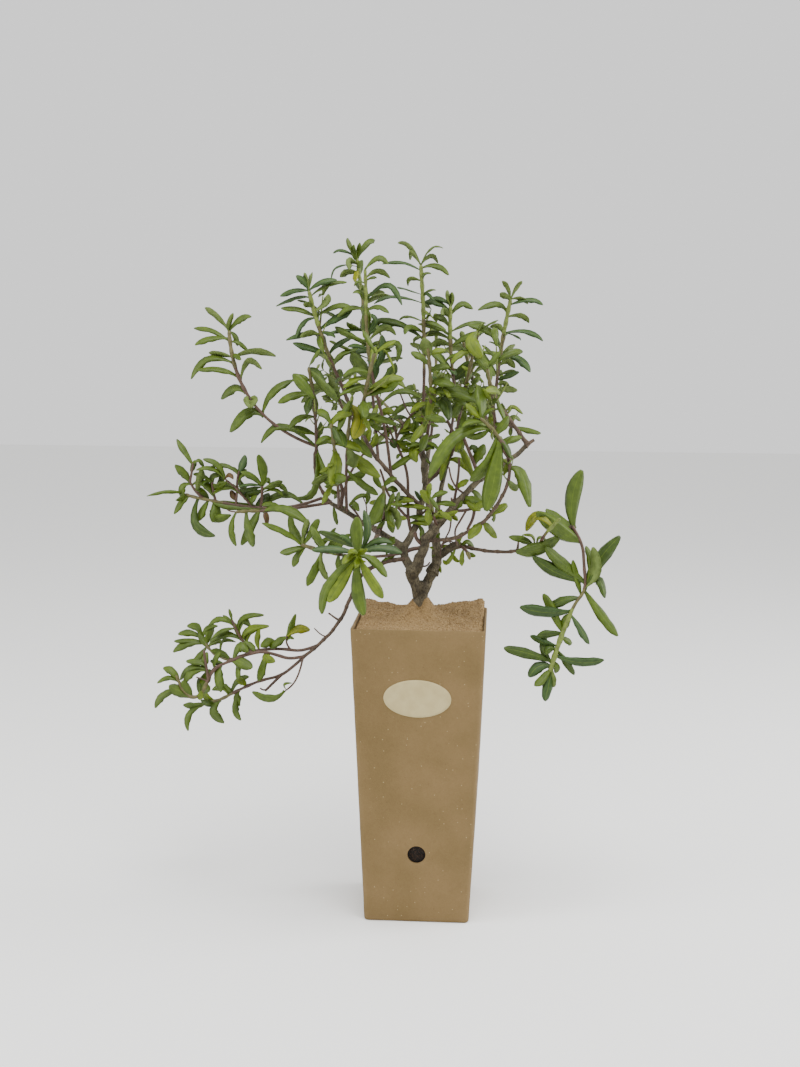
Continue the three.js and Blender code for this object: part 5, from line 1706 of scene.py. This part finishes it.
SHOWN_LEAVES["spray_left_upper"] = [
    shown(193, 465, 186, 452, 177, 439, 5.5, 45),
    shown(193, 465, 199, 460, 204, 467, 4.5, 45),
    shown(190, 484, 185, 473, 175, 465, 7, 50),
    shown(184, 494, 168, 491, 147, 496, 4.5, 42, 22),
    shown(190, 484, 181, 487, 183, 500, 7, 50),
    shown(190, 499, 182, 500, 174, 514, 6.5, 45),
    shown(190, 486, 204, 482, 215, 497, 6.5, 45),
    old(197, 500, 194, 525, 215, 536, 8.5, 55, 6),
    shown(208, 504, 201, 511, 198, 521, 7.5, 50),
    shown(214, 503, 214, 519, 231, 515, 8, 50),
    shown(213, 490, 211, 477, 221, 475, 6.5, 45),
    young(214, 491, 223, 478, 217, 466, 6.5, 45),
    shown(198, 490, 199, 479, 201, 469, 6.5, -55, 6),
    shown(238, 474, 226, 465, 210, 467, 4.5, 47),
    shown(225, 479, 212, 468, 196, 470, 4.5, 45),
    shown(225, 479, 218, 464, 203, 459, 5.5, 45),
    old(239, 474, 241, 465, 245, 455, 7, 55),
    shown(237, 484, 240, 474, 247, 470, 6.5, 48),
    shown(262, 486, 264, 470, 258, 455, 7.5, 60),
    shown(263, 484, 253, 476, 241, 472, 6, 50),
    shown(265, 489, 274, 486, 282, 481, 6, 45),
    shown(248, 498, 230, 485, 213, 494, 6.5, 45),
    shown(265, 490, 279, 484, 288, 495, 5, 45),
    shown(303, 503, 284, 493, 262, 504, 7, 45),
    shown(268, 510, 240, 505, 213, 502, 8, 50),
    shown(262, 510, 250, 525, 241, 545, 9, 50),
    shown(236, 510, 230, 530, 236, 546, 6.5, 45),
    shown(262, 511, 267, 516, 267, 525, 5, 50, 0, "brown"),
    young(226, 484, 219, 486, 215, 484, 6, 60, 5),
    shown(252, 503, 244, 493, 237, 478, 6.5, 45),
    young(193, 474, 192, 467, 195, 460, 5, 60),
    shown(188, 496, 183, 499, 176, 500, 5, 45),
    young(193, 491, 201, 490, 209, 499, 6, 55),
    shown(212, 483, 203, 475, 193, 474, 4.5, 45),
    shown(225, 479, 229, 474, 233, 479, 4.5, 50, 0, "brown"),
    old(211, 482, 205, 481, 202, 486, 4.5, 45),
    young(238, 475, 236, 470, 232, 467, 4, 50),
    shown(237, 501, 232, 496, 231, 490, 5.5, 55, 0, "brown"),
    shown(264, 487, 267, 479, 270, 484, 5, 50),
    shown(266, 493, 275, 489, 283, 496, 3.5, 45),
    old(262, 484, 250, 484, 238, 487, 3.5, 42),
    old(262, 487, 252, 488, 240, 491, 4, 45),
    old(263, 491, 254, 494, 243, 496, 7, 48),
    young(252, 507, 250, 501, 257, 496, 6, 50),
    old(256, 508, 261, 500, 269, 493, 8, 50),
    shown(214, 502, 217, 511, 212, 522, 9, 55, 2),
]
SHOWN_LEAVES["spray_left_lower"] = [
    shown(263, 511, 286, 508, 309, 524, 8.5, 50, 8),
    shown(290, 510, 291, 529, 303, 546, 8.5, 45),
    shown(245, 511, 247, 531, 253, 547, 8.5, 50),
    shown(282, 510, 273, 504, 262, 505, 6.5, 45),
]
SHOWN_LEAVES["sprig_left"] = [
    young(303, 542, 284, 531, 262, 523, 6, 40),
    young(303, 542, 304, 529, 308, 519, 6, -45),
    young(305, 542, 314, 530, 319, 519, 6.5, 50),
    young(305, 549, 292, 549, 280, 553, 6.5, 50),
    young(305, 549, 296, 556, 293, 567, 6.5, 50),
    shown(322, 553, 316, 571, 307, 586, 7.5, 50),
    shown(320, 554, 321, 569, 329, 580, 6, -45),
    shown(320, 548, 328, 539, 336, 528, 4.5, 42),
    shown(322, 548, 318, 541, 312, 538, 5, 47),
    shown(326, 550, 331, 543, 337, 541, 6, 45),
    shown(338, 556, 338, 566, 345, 573, 7.5, 50),
    shown(396, 555, 388, 561, 381, 564, 6, 40),
    young(386, 554, 389, 543, 395, 537, 6.5, 45),
    shown(350, 556, 343, 561, 337, 571, 7.5, 50),
]
SHOWN_LEAVES["spray_front"] = [
    shown(357, 553, 356, 537, 357, 517, 8.5, 80, 2, "green"),
    shown(360, 551, 369, 531, 364, 510, 7, 45, 2, "bluish"),
    shown(355, 551, 334, 548, 312, 550, 6.5, 50, 2, "bluish"),
    shown(355, 549, 347, 538, 340, 537, 5.5, 45, 2, "bluish"),
    shown(360, 551, 377, 540, 392, 543, 5.5, 50, 2, "bluish"),
    shown(361, 553, 382, 547, 402, 553, 6.5, 55, 2, "bluish"),
    old(360, 556, 375, 560, 387, 577, 7.5, 45, 2),
    shown(359, 561, 370, 580, 383, 598, 7, 75, 4),
    shown(358, 563, 357, 590, 364, 615, 8.5, 80, 4),
    young(356, 562, 340, 582, 328, 602, 8.5, 80, 4),
    young(352, 562, 328, 584, 322, 614, 7, 65, 4),
    shown(356, 558, 349, 556, 343, 564, 6, 60, 7, "fresh"),
    shown(358, 556, 354, 551, 349, 553, 5, 65, 9, "fresh"),
    shown(358, 557, 362, 553, 366, 549, 5, 65, 9, "fresh"),
    shown(358, 558, 358, 562, 355, 567, 5, 65, 9, "fresh"),
    shown(358, 557, 361, 560, 364, 561, 4.5, 60, 9, "fresh"),
]
SHOWN_LEAVES["sprig_inner_left"] = [
    shown(383, 492, 377, 507, 371, 525, 9.5, 65, 6),
    young(384, 503, 391, 517, 393, 533, 7.5, 50),
    shown(384, 505, 398, 514, 398, 530, 6.5, -50),
    young(383, 489, 388, 480, 397, 478, 6, 40),
    young(383, 490, 376, 482, 374, 474, 6, 45),
    shown(384, 510, 378, 502, 369, 503, 6, 40),
]
SHOWN_LEAVES["spray_low_left_over"] = [
    shown(232, 622, 230, 615, 229, 609, 3.5, 45),
    shown(233, 625, 229, 619, 223, 615, 3.5, 42),
    shown(237, 632, 243, 617, 264, 615, 5.5, 47),
    shown(237, 634, 243, 620, 251, 627, 6, 48),
    shown(234, 627, 221, 618, 209, 625, 5.5, 45),
    shown(241, 640, 224, 633, 210, 642, 7, 50),
    young(242, 641, 248, 629, 269, 626, 6.5, 50),
    young(259, 650, 256, 639, 260, 630, 6, 50),
    shown(286, 642, 291, 631, 296, 614, 5.5, 50),
    shown(287, 636, 298, 628, 310, 630, 7.5, 55, 0, "yellow"),
    shown(286, 637, 279, 640, 270, 648, 7, 50),
    shown(287, 642, 289, 637, 294, 639, 3.5, 42),
    shown(276, 648, 270, 641, 261, 647, 8.5, 55, 5),
    shown(221, 657, 222, 641, 236, 642, 3.5, 47),
    shown(202, 638, 197, 626, 187, 626, 7, 48),
    shown(201, 638, 190, 632, 178, 634, 6, 50),
    shown(203, 640, 206, 628, 218, 626, 5, 45),
    shown(206, 645, 210, 634, 213, 622, 7, 55),
    shown(204, 642, 190, 640, 174, 641, 5, 45),
    shown(205, 644, 188, 642, 173, 652, 7.5, 48),
    shown(208, 647, 215, 640, 221, 643, 7, 52),
    shown(234, 630, 223, 630, 212, 638, 4.5, 48),
    young(240, 641, 237, 632, 233, 622, 4.5, 62),
    shown(204, 649, 199, 655, 193, 662, 6, 50),
    shown(208, 650, 204, 641, 199, 633, 5, 62),
    shown(230, 659, 221, 652, 211, 651, 6.5, 50),
    young(246, 648, 247, 633, 262, 625, 6.5, 50),
]
SHOWN_LEAVES["spray_low_left_tip"] = [
    shown(180, 684, 173, 671, 163, 668, 6.5, 48),
    shown(181, 683, 169, 677, 157, 683, 4.5, 45),
    shown(192, 699, 181, 691, 169, 686, 8.5, 58, 4),
    shown(178, 691, 163, 694, 155, 708, 7, 48),
    shown(206, 669, 190, 667, 180, 680, 6, 45),
    shown(206, 666, 197, 661, 186, 661, 5.5, 48),
    shown(206, 671, 192, 671, 183, 685, 7, 48),
    shown(204, 673, 203, 664, 207, 652, 7, 55),
    shown(214, 668, 214, 660, 220, 652, 5.5, 48),
    shown(230, 661, 240, 661, 252, 668, 9, 60, 5),
    shown(233, 658, 239, 646, 248, 652, 8.5, 52),
    shown(222, 665, 217, 676, 221, 692, 8.5, 58, 4),
    young(266, 652, 265, 659, 275, 661, 9, 55, 4),
    shown(266, 655, 261, 668, 258, 681, 7.5, 50),
    shown(240, 661, 237, 671, 238, 680, 5.5, 50),
    old(226, 663, 218, 664, 210, 661, 5.5, 48),
    shown(254, 652, 252, 646, 244, 641, 6, 48),
    shown(192, 699, 188, 689, 182, 681, 6, 62),
    shown(202, 695, 202, 683, 210, 669, 8.5, 60),
    shown(201, 695, 198, 687, 198, 678, 5, 55),
    shown(200, 703, 200, 698, 201, 691, 5, 65, 2, "fresh"),
    shown(208, 684, 208, 690, 202, 693, 5.5, 48),
]
SHOWN_LEAVES["spray_low_left_under"] = [
    shown(222, 701, 212, 712, 224, 723, 9, 55),
    shown(240, 692, 234, 709, 241, 720, 7, 50),
    shown(238, 692, 236, 699, 240, 705, 8, 55, 4),
    shown(200, 703, 188, 714, 188, 731, 6.5, 48),
    shown(207, 702, 195, 707, 183, 705, 6.5, 52),
    young(216, 701, 205, 697, 202, 688, 7, 55),
    shown(214, 702, 207, 700, 203, 693, 7, 55),
    shown(230, 694, 237, 680, 249, 677, 6, 45),
    shown(229, 695, 223, 686, 212, 690, 6.5, 48),
    young(247, 687, 243, 681, 236, 680, 6.5, 50),
    shown(232, 694, 227, 690, 221, 684, 6, 50),
    old(216, 702, 209, 705, 201, 700, 7, 52),
]
SHOWN_LEAVES["spray_right_hanging"] = [
    shown(575, 529, 572, 499, 582, 470, 10.5, 78, 2, "grey_green"),
    shown(581, 542, 562, 533, 537, 512, 11, 72, 12, "green"),
    shown(576, 533, 564, 522, 546, 509, 9.5, 55, -4),
    shown(584, 582, 565, 564, 546, 547, 9.5, 60, 4, "grey_green"),
    shown(583, 582, 556, 573, 533, 557, 9, 60, 2),
    old(589, 590, 598, 561, 620, 536, 9.5, 62, 3),
    shown(588, 588, 593, 567, 586, 546, 7.5, 50),
    young(588, 588, 597, 571, 593, 547, 8.5, -55, 5),
    shown(588, 586, 599, 579, 605, 598, 7.5, 55),
    shown(583, 596, 578, 578, 573, 560, 6, 50),
    young(588, 592, 601, 613, 618, 636, 7.5, 65, 4),
    shown(580, 598, 562, 600, 546, 609, 7.5, 55),
    old(570, 612, 546, 613, 520, 607, 8.5, 68, 4),
    shown(564, 633, 552, 613, 543, 594, 7.5, 55),
    young(573, 615, 565, 620, 561, 631, 7.5, 55),
    old(574, 616, 582, 630, 589, 644, 6.5, 50),
    old(562, 635, 550, 635, 537, 636, 6.5, 60),
    old(557, 646, 543, 643, 530, 636, 6, 50),
    shown(563, 638, 568, 640, 572, 642, 6, 50),
    shown(550, 664, 543, 650, 546, 637, 6.5, 60),
    old(550, 662, 528, 653, 504, 648, 7.5, 65, 4),
    old(550, 665, 539, 666, 529, 677, 8, 65),
    shown(550, 668, 543, 677, 535, 686, 6.5, 55),
    old(550, 670, 549, 685, 545, 701, 7.5, 70, 4),
    young(551, 668, 553, 678, 553, 687, 6.5, -55),
    young(553, 662, 558, 667, 555, 673, 6.5, 50),
    old(557, 657, 580, 663, 604, 660, 7, 65, 4),
    shown(558, 650, 565, 663, 574, 675, 6, 50),
    shown(556, 650, 549, 648, 546, 655, 6.5, 50),
]
SHOWN_LEAVES["spray_right_arm"] = [
    shown(552, 526, 536, 515, 526, 531, 8, 62, -22, "yellow"),
]
SHOWN_LEAVES["bough_right_arm"] = [
    shown(566, 537, 543, 549, 516, 552, 10.5, 62, 3, "grey_green"),
    old(533, 545, 525, 539, 509, 537, 6.5, 50),
    shown(533, 545, 533, 536, 522, 535, 3.5, 37),
    shown(536, 544, 539, 537, 547, 540, 3.5, 37),
]
SHOWN_LEAVES["sprig_knot"] = [
    shown(461, 547, 467, 541, 474, 547, 5, 47),
    shown(463, 549, 461, 558, 462, 566, 4.5, 50, 1),
    shown(464, 550, 469, 555, 476, 556, 4.5, 45, 1),
    shown(452, 557, 449, 562, 443, 560, 4.5, 55, 1),
    young(460, 547, 458, 539, 463, 532, 5, 40),
]
SHOWN_LEAVES["bough_arch"] = [
    young(482, 523, 478, 530, 468, 538, 8.5, 55),
    shown(482, 523, 489, 527, 497, 538, 7, 50),
    young(489, 516, 494, 515, 494, 522, 5, 45),
    young(488, 517, 499, 508, 506, 503, 7, 50),
    shown(494, 509, 484, 503, 474, 508, 6.5, 45),
    old(492, 512, 478, 500, 467, 497, 6.5, 45),
]
SHOWN_LEAVES["bough_centre_top"] = [
    old(423, 457, 428, 460, 432, 466, 3.5, 42),
    old(423, 428, 431, 418, 437, 416, 4.5, 47),
    young(422, 446, 415, 443, 407, 447, 5.5, 45, 3),
    old(422, 434, 427, 429, 428, 421, 5, 45),
    young(422, 452, 428, 447, 434, 449, 6, 45),
    shown(421, 447, 412, 450, 417, 462, 9, 55, 5),
    young(421, 450, 404, 459, 389, 470, 6.5, 45),
    shown(421, 440, 411, 434, 399, 441, 5, 47),
    young(421, 437, 410, 428, 400, 432, 5, 47),
    young(422, 441, 434, 436, 440, 434, 4, 47),
    shown(422, 445, 432, 443, 439, 451, 5, 40),
    old(422, 437, 416, 429, 417, 419, 6, 45),
]
SHOWN_LEAVES["bough_grey"] = [
    young(457, 511, 456, 505, 461, 498, 8, 55, 3),
    shown(462, 502, 467, 502, 473, 496, 8, 50, 3),
    shown(466, 500, 473, 503, 480, 511, 8.5, 50, 3),
    shown(457, 489, 461, 483, 469, 480, 6, 45, 2),
    young(455, 489, 451, 489, 448, 483, 4.5, 40, 2),
    old(474, 464, 477, 455, 484, 444, 9, 50, -4),
    old(468, 450, 474, 447, 480, 455, 7, 50, -3),
    young(464, 437, 459, 443, 455, 452, 5.5, 45, 2),
    young(463, 497, 468, 489, 478, 479, 5.5, 40),
    shown(470, 490, 478, 494, 481, 504, 6.5, 45),
    shown(455, 506, 452, 515, 458, 521, 5, 40),
]
SHOWN_LEAVES["bough_left"] = [
    young(366, 450, 364, 440, 371, 429, 8, 60, 3),
    young(367, 449, 375, 443, 377, 433, 6.5, 50),
    shown(342, 490, 337, 492, 334, 499, 4.5, 40),
    shown(349, 500, 354, 503, 359, 511, 7, 50, 2),
    young(350, 501, 360, 495, 371, 498, 4.5, 47),
    old(374, 503, 369, 498, 367, 491, 5, 45),
    shown(334, 504, 334, 515, 337, 525, 4.5, 45),
    shown(372, 525, 380, 518, 389, 519, 6, 45),
    shown(352, 516, 345, 508, 336, 507, 5, 40),
]
SHOWN_LEAVES["bough_centre"] = [
    young(375, 428, 377, 420, 381, 411, 5, 45),
    shown(382, 418, 385, 410, 394, 413, 6.5, 60, 3, "fresh"),
    young(381, 415, 372, 414, 367, 419, 4.5, 40),
    old(393, 443, 383, 442, 376, 445, 3.5, 27),
    old(385, 413, 391, 407, 399, 407, 3.5, 27),
    old(417, 408, 409, 404, 400, 405, 4.5, 42),
    shown(421, 407, 417, 411, 412, 407, 4, 42),
    shown(412, 420, 419, 413, 428, 414, 6.5, 45),
    young(412, 419, 407, 422, 404, 429, 5.5, 50),
    young(414, 419, 417, 424, 411, 430, 6, 50),
    shown(415, 418, 421, 419, 424, 427, 6, 50),
    old(409, 418, 400, 416, 394, 419, 5.5, 40),
    old(392, 437, 392, 443, 396, 448, 7, 50),
    young(401, 452, 405, 450, 409, 449, 4.5, 40),
    young(401, 453, 398, 455, 397, 459, 4.5, 40),
    young(393, 433, 388, 432, 384, 438, 6.5, 50),
    shown(394, 430, 386, 427, 379, 429, 5, 40),
    old(395, 437, 402, 431, 410, 433, 5, 47),
    old(396, 440, 403, 444, 411, 443, 5, 47),
    shown(397, 442, 402, 448, 409, 452, 5.5, 40),
    shown(386, 490, 392, 488, 398, 491, 6, 55),
    old(390, 499, 399, 497, 410, 498, 5, 40),
    shown(393, 504, 403, 499, 414, 501, 6, 45),
    young(397, 509, 412, 505, 431, 509, 5, 40, 4),
    old(404, 520, 416, 516, 431, 518, 5, 40, 2),
    shown(411, 523, 420, 521, 429, 525, 6, 50),
    shown(417, 524, 423, 531, 420, 541, 5, 45, 3),
    shown(420, 503, 418, 497, 415, 491, 4.5, 45, 0, "bluish"),
    shown(391, 512, 386, 513, 381, 519, 3, 32),
]
SHOWN_LEAVES["bough_centre_right"] = [
    old(448, 424, 441, 421, 434, 423, 3.5, 32),
    young(448, 461, 461, 460, 471, 474, 7.5, 45, 4),
    young(446, 463, 442, 469, 441, 480, 6, 50, 4),
]
SHOWN_LEAVES["bough_low_left"] = [
    shown(285, 691, 270, 700, 252, 692, 7.5, 50),
    shown(286, 690, 284, 684, 292, 683, 2.5, 45),
]
SHOWN_LEAVES["bough_right_low"] = [
    shown(441, 548, 445, 546, 450, 548, 5, 45, 3),
    shown(440, 556, 438, 564, 441, 573, 3.5, 47, 3),
    young(437, 552, 434, 548, 430, 548, 4, 45, 3),
    shown(439, 546, 437, 539, 440, 533, 4, 45, 3),
    young(436, 543, 430, 540, 428, 533, 4.5, 45, 3),
    shown(441, 550, 437, 556, 432, 556, 4.5, 45, 3),
]
SHOWN_LEAVES["bough_knot"] = [shown(452, 552, 454, 559, 460, 561, 4, 50, 3)]


def place_shown(leaf, name, seed):
    """Sets a shown leaf's midrib and upper side in space, with its root on its shoot's stem."""
    root = root_on(carriers[name], leaf["pixels"][0])
    eye = np.array(CAMERA_PLACE)
    nearer = leaf["nearer"] or NEARER_RANGE * (2 * chance(seed) - 1)
    depth = depth_of(root)
    middle = eye + ray_through(leaf["pixels"][1]) * (depth - nearer * NEARER_SHARE)
    tip = eye + ray_through(leaf["pixels"][2]) * (depth - nearer)
    bend = 2 * middle - (root + tip) / 2
    leaf.update(route=np.array((root, bend, tip)), root=root)
    return leaf


shown_leaves = {}
for order, (name, leaves) in enumerate(SHOWN_LEAVES.items()):
    shown_leaves[name] = [place_shown(leaf, name, order * 40 + number) for number, leaf in enumerate(leaves)]

# Leaves
# Oblong leaves with a sunken midrib, a keel below, wavy rolled-down edges and a blunt tip that
# bends over. Each is a few dozen faces in its own outline. Colours are dealt out by spray and age.
BLADE_COLUMNS = np.array((-1, -0.58, -0.05, 0.05, 0.58, 1))
BLADE_HEIGHTS = np.array((-0.42, 0.06, -0.1, -0.1, 0.06, -0.42))
BLADE_FULLEST = 1.4
BLADE_FULLNESS = 0.48
PETIOLE = 0.34
TIP_HALF = 0.1
BLADE_THICK = 0.3
KEEL = 0.2
WAVES = (1.6, 3.2)
WAVE_HEIGHT = 0.14
BLADE_SWAY = 0.09
SIDES_APART = 0.23
ARCH_UP = 0.3
LEAF_GLOSS = 0.3
ROLL_AT_ROOT = 0.35
FIRST_TONE_SHARE = 0.6
LEAF_COLOURS = {
    "fresh": "#63740f",
    "green": "#4b5e0c",
    "deep": "#374b08",
    "grey_green": "#4a5c17",
    "bluish": "#344c1d",
    "yellow": "#7d8013",
    "brown": "#503519",
}
UNDERSIDE = "#627235"
MIDRIB = "#546716"
SPRAY_TONES = {
    "top": {"young": ("green", "grey_green"), "full": ("grey_green", "bluish"), "old": ("deep", "bluish")},
    "left": {"young": ("green", "grey_green"), "full": ("grey_green", "green"), "old": ("deep", "bluish")},
    "low": {"young": ("fresh", "fresh"), "full": ("green", "grey_green"), "old": ("deep", "green")},
    "front": {"young": ("fresh", "green"), "full": ("green", "fresh"), "old": ("green", "deep")},
    "right": {"young": ("green", "grey_green"), "full": ("green", "deep"), "old": ("bluish", "deep")},
    "inner": {"young": ("green", "fresh"), "full": ("green", "fresh"), "old": ("green", "deep")},
    "back": {"young": ("fresh", "green"), "full": ("green", "deep"), "old": ("deep", "bluish")},
}
BOUGH_SPRAY = "inner"
SAME_JOINT = 8
SAME_WAY = 0.3


def leaf_finish(name, colour, roughness):
    """A leaf's skin: one colour, faintly veined and mottled, half matt."""
    finish, tree, shader, place = new_finish(name, roughness)
    veins = add(tree, "ShaderNodeTexVoronoi", {"Vector": place, "Scale": 620}, feature="DISTANCE_TO_EDGE")
    mottle = add(tree, "ShaderNodeTexNoise", {"Vector": place, "Scale": 240, "Detail": 4})
    shade = ramp(tree, mottle.outputs["Fac"], {0.3: "#c4cab4", 0.7: "#ffffff"})
    tree.links.new(blend_colours(tree, 1.0, paint(colour), shade, "MULTIPLY"), shader.inputs["Base Color"])
    raise_bumps(tree, shader, veins.outputs["Distance"], 0.12)
    shader.inputs["Specular IOR Level"].default_value = LEAF_GLOSS
    return finish


def blade_lines(leaf):
    """A leaf's midrib and, at each of its points, the directions along it and of its upper side."""
    parts = BLADE_PARTS
    if "route" in leaf:
        route = leaf["route"]
        centre = point_on(route, parts)
        lengthways = np.array([along(route, part) for part in parts])
        view = -np.array(forward)
        level = np.cross(lengthways, view)
        level /= np.linalg.norm(level, axis=1)[:, None]
        bulge = route[1] - (route[0] + route[2]) / 2 + UP * ARCH_UP
        level *= np.sign((level @ bulge).sum())
        roll = math.radians(leaf["facing"])
        face = level * math.cos(roll) + view * math.sin(roll)
        face -= lengthways * (face * lengthways).sum(1)[:, None]
        return centre, lengthways, face / np.linalg.norm(face, axis=1)[:, None]
    start, curl = math.radians(leaf["spread"]), math.radians(leaf["curl"])
    angles = (start + curl * parts)[:, None]
    lengthways = leaf["along"] * np.cos(angles) + leaf["out"] * np.sin(angles)
    level = leaf["along"] * np.sin(angles) - leaf["out"] * np.cos(angles)
    roll = math.radians(leaf["roll"]) * mix_of(ROLL_AT_ROOT, 1, parts[:, None])
    face = level * np.cos(roll) + np.cross(lengthways, level) * np.sin(roll)
    return midrib(leaf, parts), lengthways, face


def blade(leaf, seed):
    """One leaf's points: a ring of upper points across the blade and one keel point, at each part."""
    parts = BLADE_PARTS
    centre, lengthways, face = blade_lines(leaf)
    edge = np.cross(lengthways, face)
    fullness = np.sin(np.pi * np.minimum(parts**BLADE_FULLEST, 1)) ** BLADE_FULLNESS
    half = leaf["width"] / 2 * np.maximum(fullness, PETIOLE * (1 - parts))
    half[-1] = TIP_HALF * leaf["width"]
    if "route" not in leaf:
        centre = centre + edge * (leaf["length"] * BLADE_SWAY * (chance(seed) - 0.5) * parts**2)[:, None]
    waves = mix_of(*WAVES, chance(seed + 0.2))
    phase = chance(seed + 0.4) + SIDES_APART * np.sign(BLADE_COLUMNS)
    ripple = np.sin(2 * np.pi * (waves * parts[:, None] + phase))
    rise = BLADE_HEIGHTS + WAVE_HEIGHT * ripple * (np.abs(BLADE_COLUMNS) == 1)
    upper = centre[:, None] + edge[:, None] * (half[:, None] * BLADE_COLUMNS)[..., None]
    upper = upper + face[:, None] * (half[:, None] * rise)[..., None]
    keel = centre - face * (BLADE_THICK + KEEL * half)[:, None]
    return np.concatenate((upper, keel[:, None]), axis=1).reshape(-1, 3)


def blade_faces():
    """The faces of one leaf, and which are blade, midrib and underside (0, 1, 2)."""
    across = len(BLADE_COLUMNS)
    ring = across + 1
    faces, sorts = [], []
    for low in range(0, (len(BLADE_PARTS) - 1) * ring, ring):
        for column in range(across - 1):
            faces.append((low + column, low + column + 1, low + ring + column + 1, low + ring + column))
            sorts.append(1 if column == 2 else 0)
        for first, second in ((across - 1, across), (across, 0)):
            faces.append((low + first, low + second, low + ring + second, low + ring + first))
            sorts.append(2)
    last = (len(BLADE_PARTS) - 1) * ring
    faces.append(tuple(reversed(range(ring))))
    faces.append(tuple(range(last, last + ring)))
    return np.array(faces[:-2]), faces[-2:], np.array(sorts + [0, 0])


def stands_for(leaf, others):
    """Whether one of the shown leaves already grows from the same joint to the same side."""
    heading = unit(midrib(leaf, 1) - leaf["root"])
    for other in others:
        near = np.linalg.norm(leaf["root"] - other["root"]) < SAME_JOINT
        if near and heading @ unit(other["route"][2] - other["root"]) > SAME_WAY:
            return True
    return False


leaf_finishes = {name: leaf_finish("leaf_" + name, colour, 0.5) for name, colour in LEAF_COLOURS.items()}
underside = leaf_finish("leaf_underside", UNDERSIDE, 0.65)
midrib_finish = leaf_finish("leaf_midrib", MIDRIB, 0.55)
blade_quads, blade_caps, blade_sorts = blade_faces()
tone_names = list(LEAF_COLOURS)
for spray, tones in SPRAY_TONES.items():
    members = [(index, part["name"]) for index, part in enumerate(SHOOTS) if part["spray"] == spray]
    carried = [part["name"] for part in BOUGHS if spray == BOUGH_SPRAY and part["name"] in shown_leaves]
    points, faces, sorts = [], [], []
    for index, name in members + [(len(SHOOTS) + at, name) for at, name in enumerate(carried)]:
        beside = shown_leaves.get(name, [])
        ruled = plants[name][1] if name in plants else []
        ruled = [leaf for leaf in ruled if not stands_for(leaf, beside)]
        ruled = [leaf for at, leaf in enumerate(ruled) if chance(index * 7 + at) < ruled_share[name]]
        for number, leaf in enumerate(ruled + beside):
            seed = index * 31 + number * 1.7
            first = len(points) * len(BLADE_PARTS) * (len(BLADE_COLUMNS) + 1)
            points.append(blade(leaf, seed))
            faces += (blade_quads + first).tolist()
            faces += [tuple(first + corner for corner in cap) for cap in blade_caps]
            pair = tones.get(leaf["age"], (leaf["age"],) * 2)
            tone = pair[0] if chance(seed + 0.9) < FIRST_TONE_SHARE else pair[1]
            sorts.append(np.where(blade_sorts == 0, 2 + tone_names.index(tone), blade_sorts - 1))
    finishes = [midrib_finish, underside] + [leaf_finishes[name] for name in tone_names]
    mesh = mesh_of("leaves_" + spray, np.vstack(points), faces, finishes, np.concatenate(sorts))
    leaves_piece = place_piece("leaves_" + spray, mesh)
    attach(leaves_piece, "root")
    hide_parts(*[name for index, name in members])

# Floor and light
# A plain pale floor under a pale sky, a wide soft light overhead and one at each side, as in a
# studio set. They aren't part of the object.
FLOOR_SIZE = 8000
FLOOR_CORNERS = ((-1, -1), (1, -1), (1, 1), (-1, 1))
FLOOR_COLOUR = "#f1f1ef"
SKY_COLOUR = "#ffffff"
SKY_STRENGTH = 1.15
LIGHTS = (
    ("overhead_light", (100, -450, 1400), 600, 18),
    ("left_light", (-1200, -500, 700), 700, 9),
    ("right_light", (1200, 150, 700), 700, 15),
)
LIGHT_AIM = Vector((0, 0, 250)) * MM

floor_corners = [(x * FLOOR_SIZE / 2, y * FLOOR_SIZE / 2, 0) for x, y in FLOOR_CORNERS]
floor_finish = new_finish("pale_floor", 0.8, FLOOR_COLOUR)[0]
floor = place_piece("floor", mesh_of("floor", floor_corners, [(0, 1, 2, 3)], [floor_finish], smooth=False))

world = bpy.data.worlds.new("pale_sky")
world.use_nodes = True
world.node_tree.nodes["Background"].inputs["Color"].default_value = paint(SKY_COLOUR)
world.node_tree.nodes["Background"].inputs["Strength"].default_value = SKY_STRENGTH
bpy.context.scene.world = world
for name, place, size, power in LIGHTS:
    lamp = bpy.data.lights.new(name, "AREA")
    lamp.size = size * MM
    lamp.energy = power
    holder = bpy.data.objects.new(name, lamp)
    holder.location = Vector(place) * MM
    holder.rotation_euler = (LIGHT_AIM - holder.location).to_track_quat("-Z", "Y").to_euler()
    bpy.context.scene.collection.objects.link(holder)
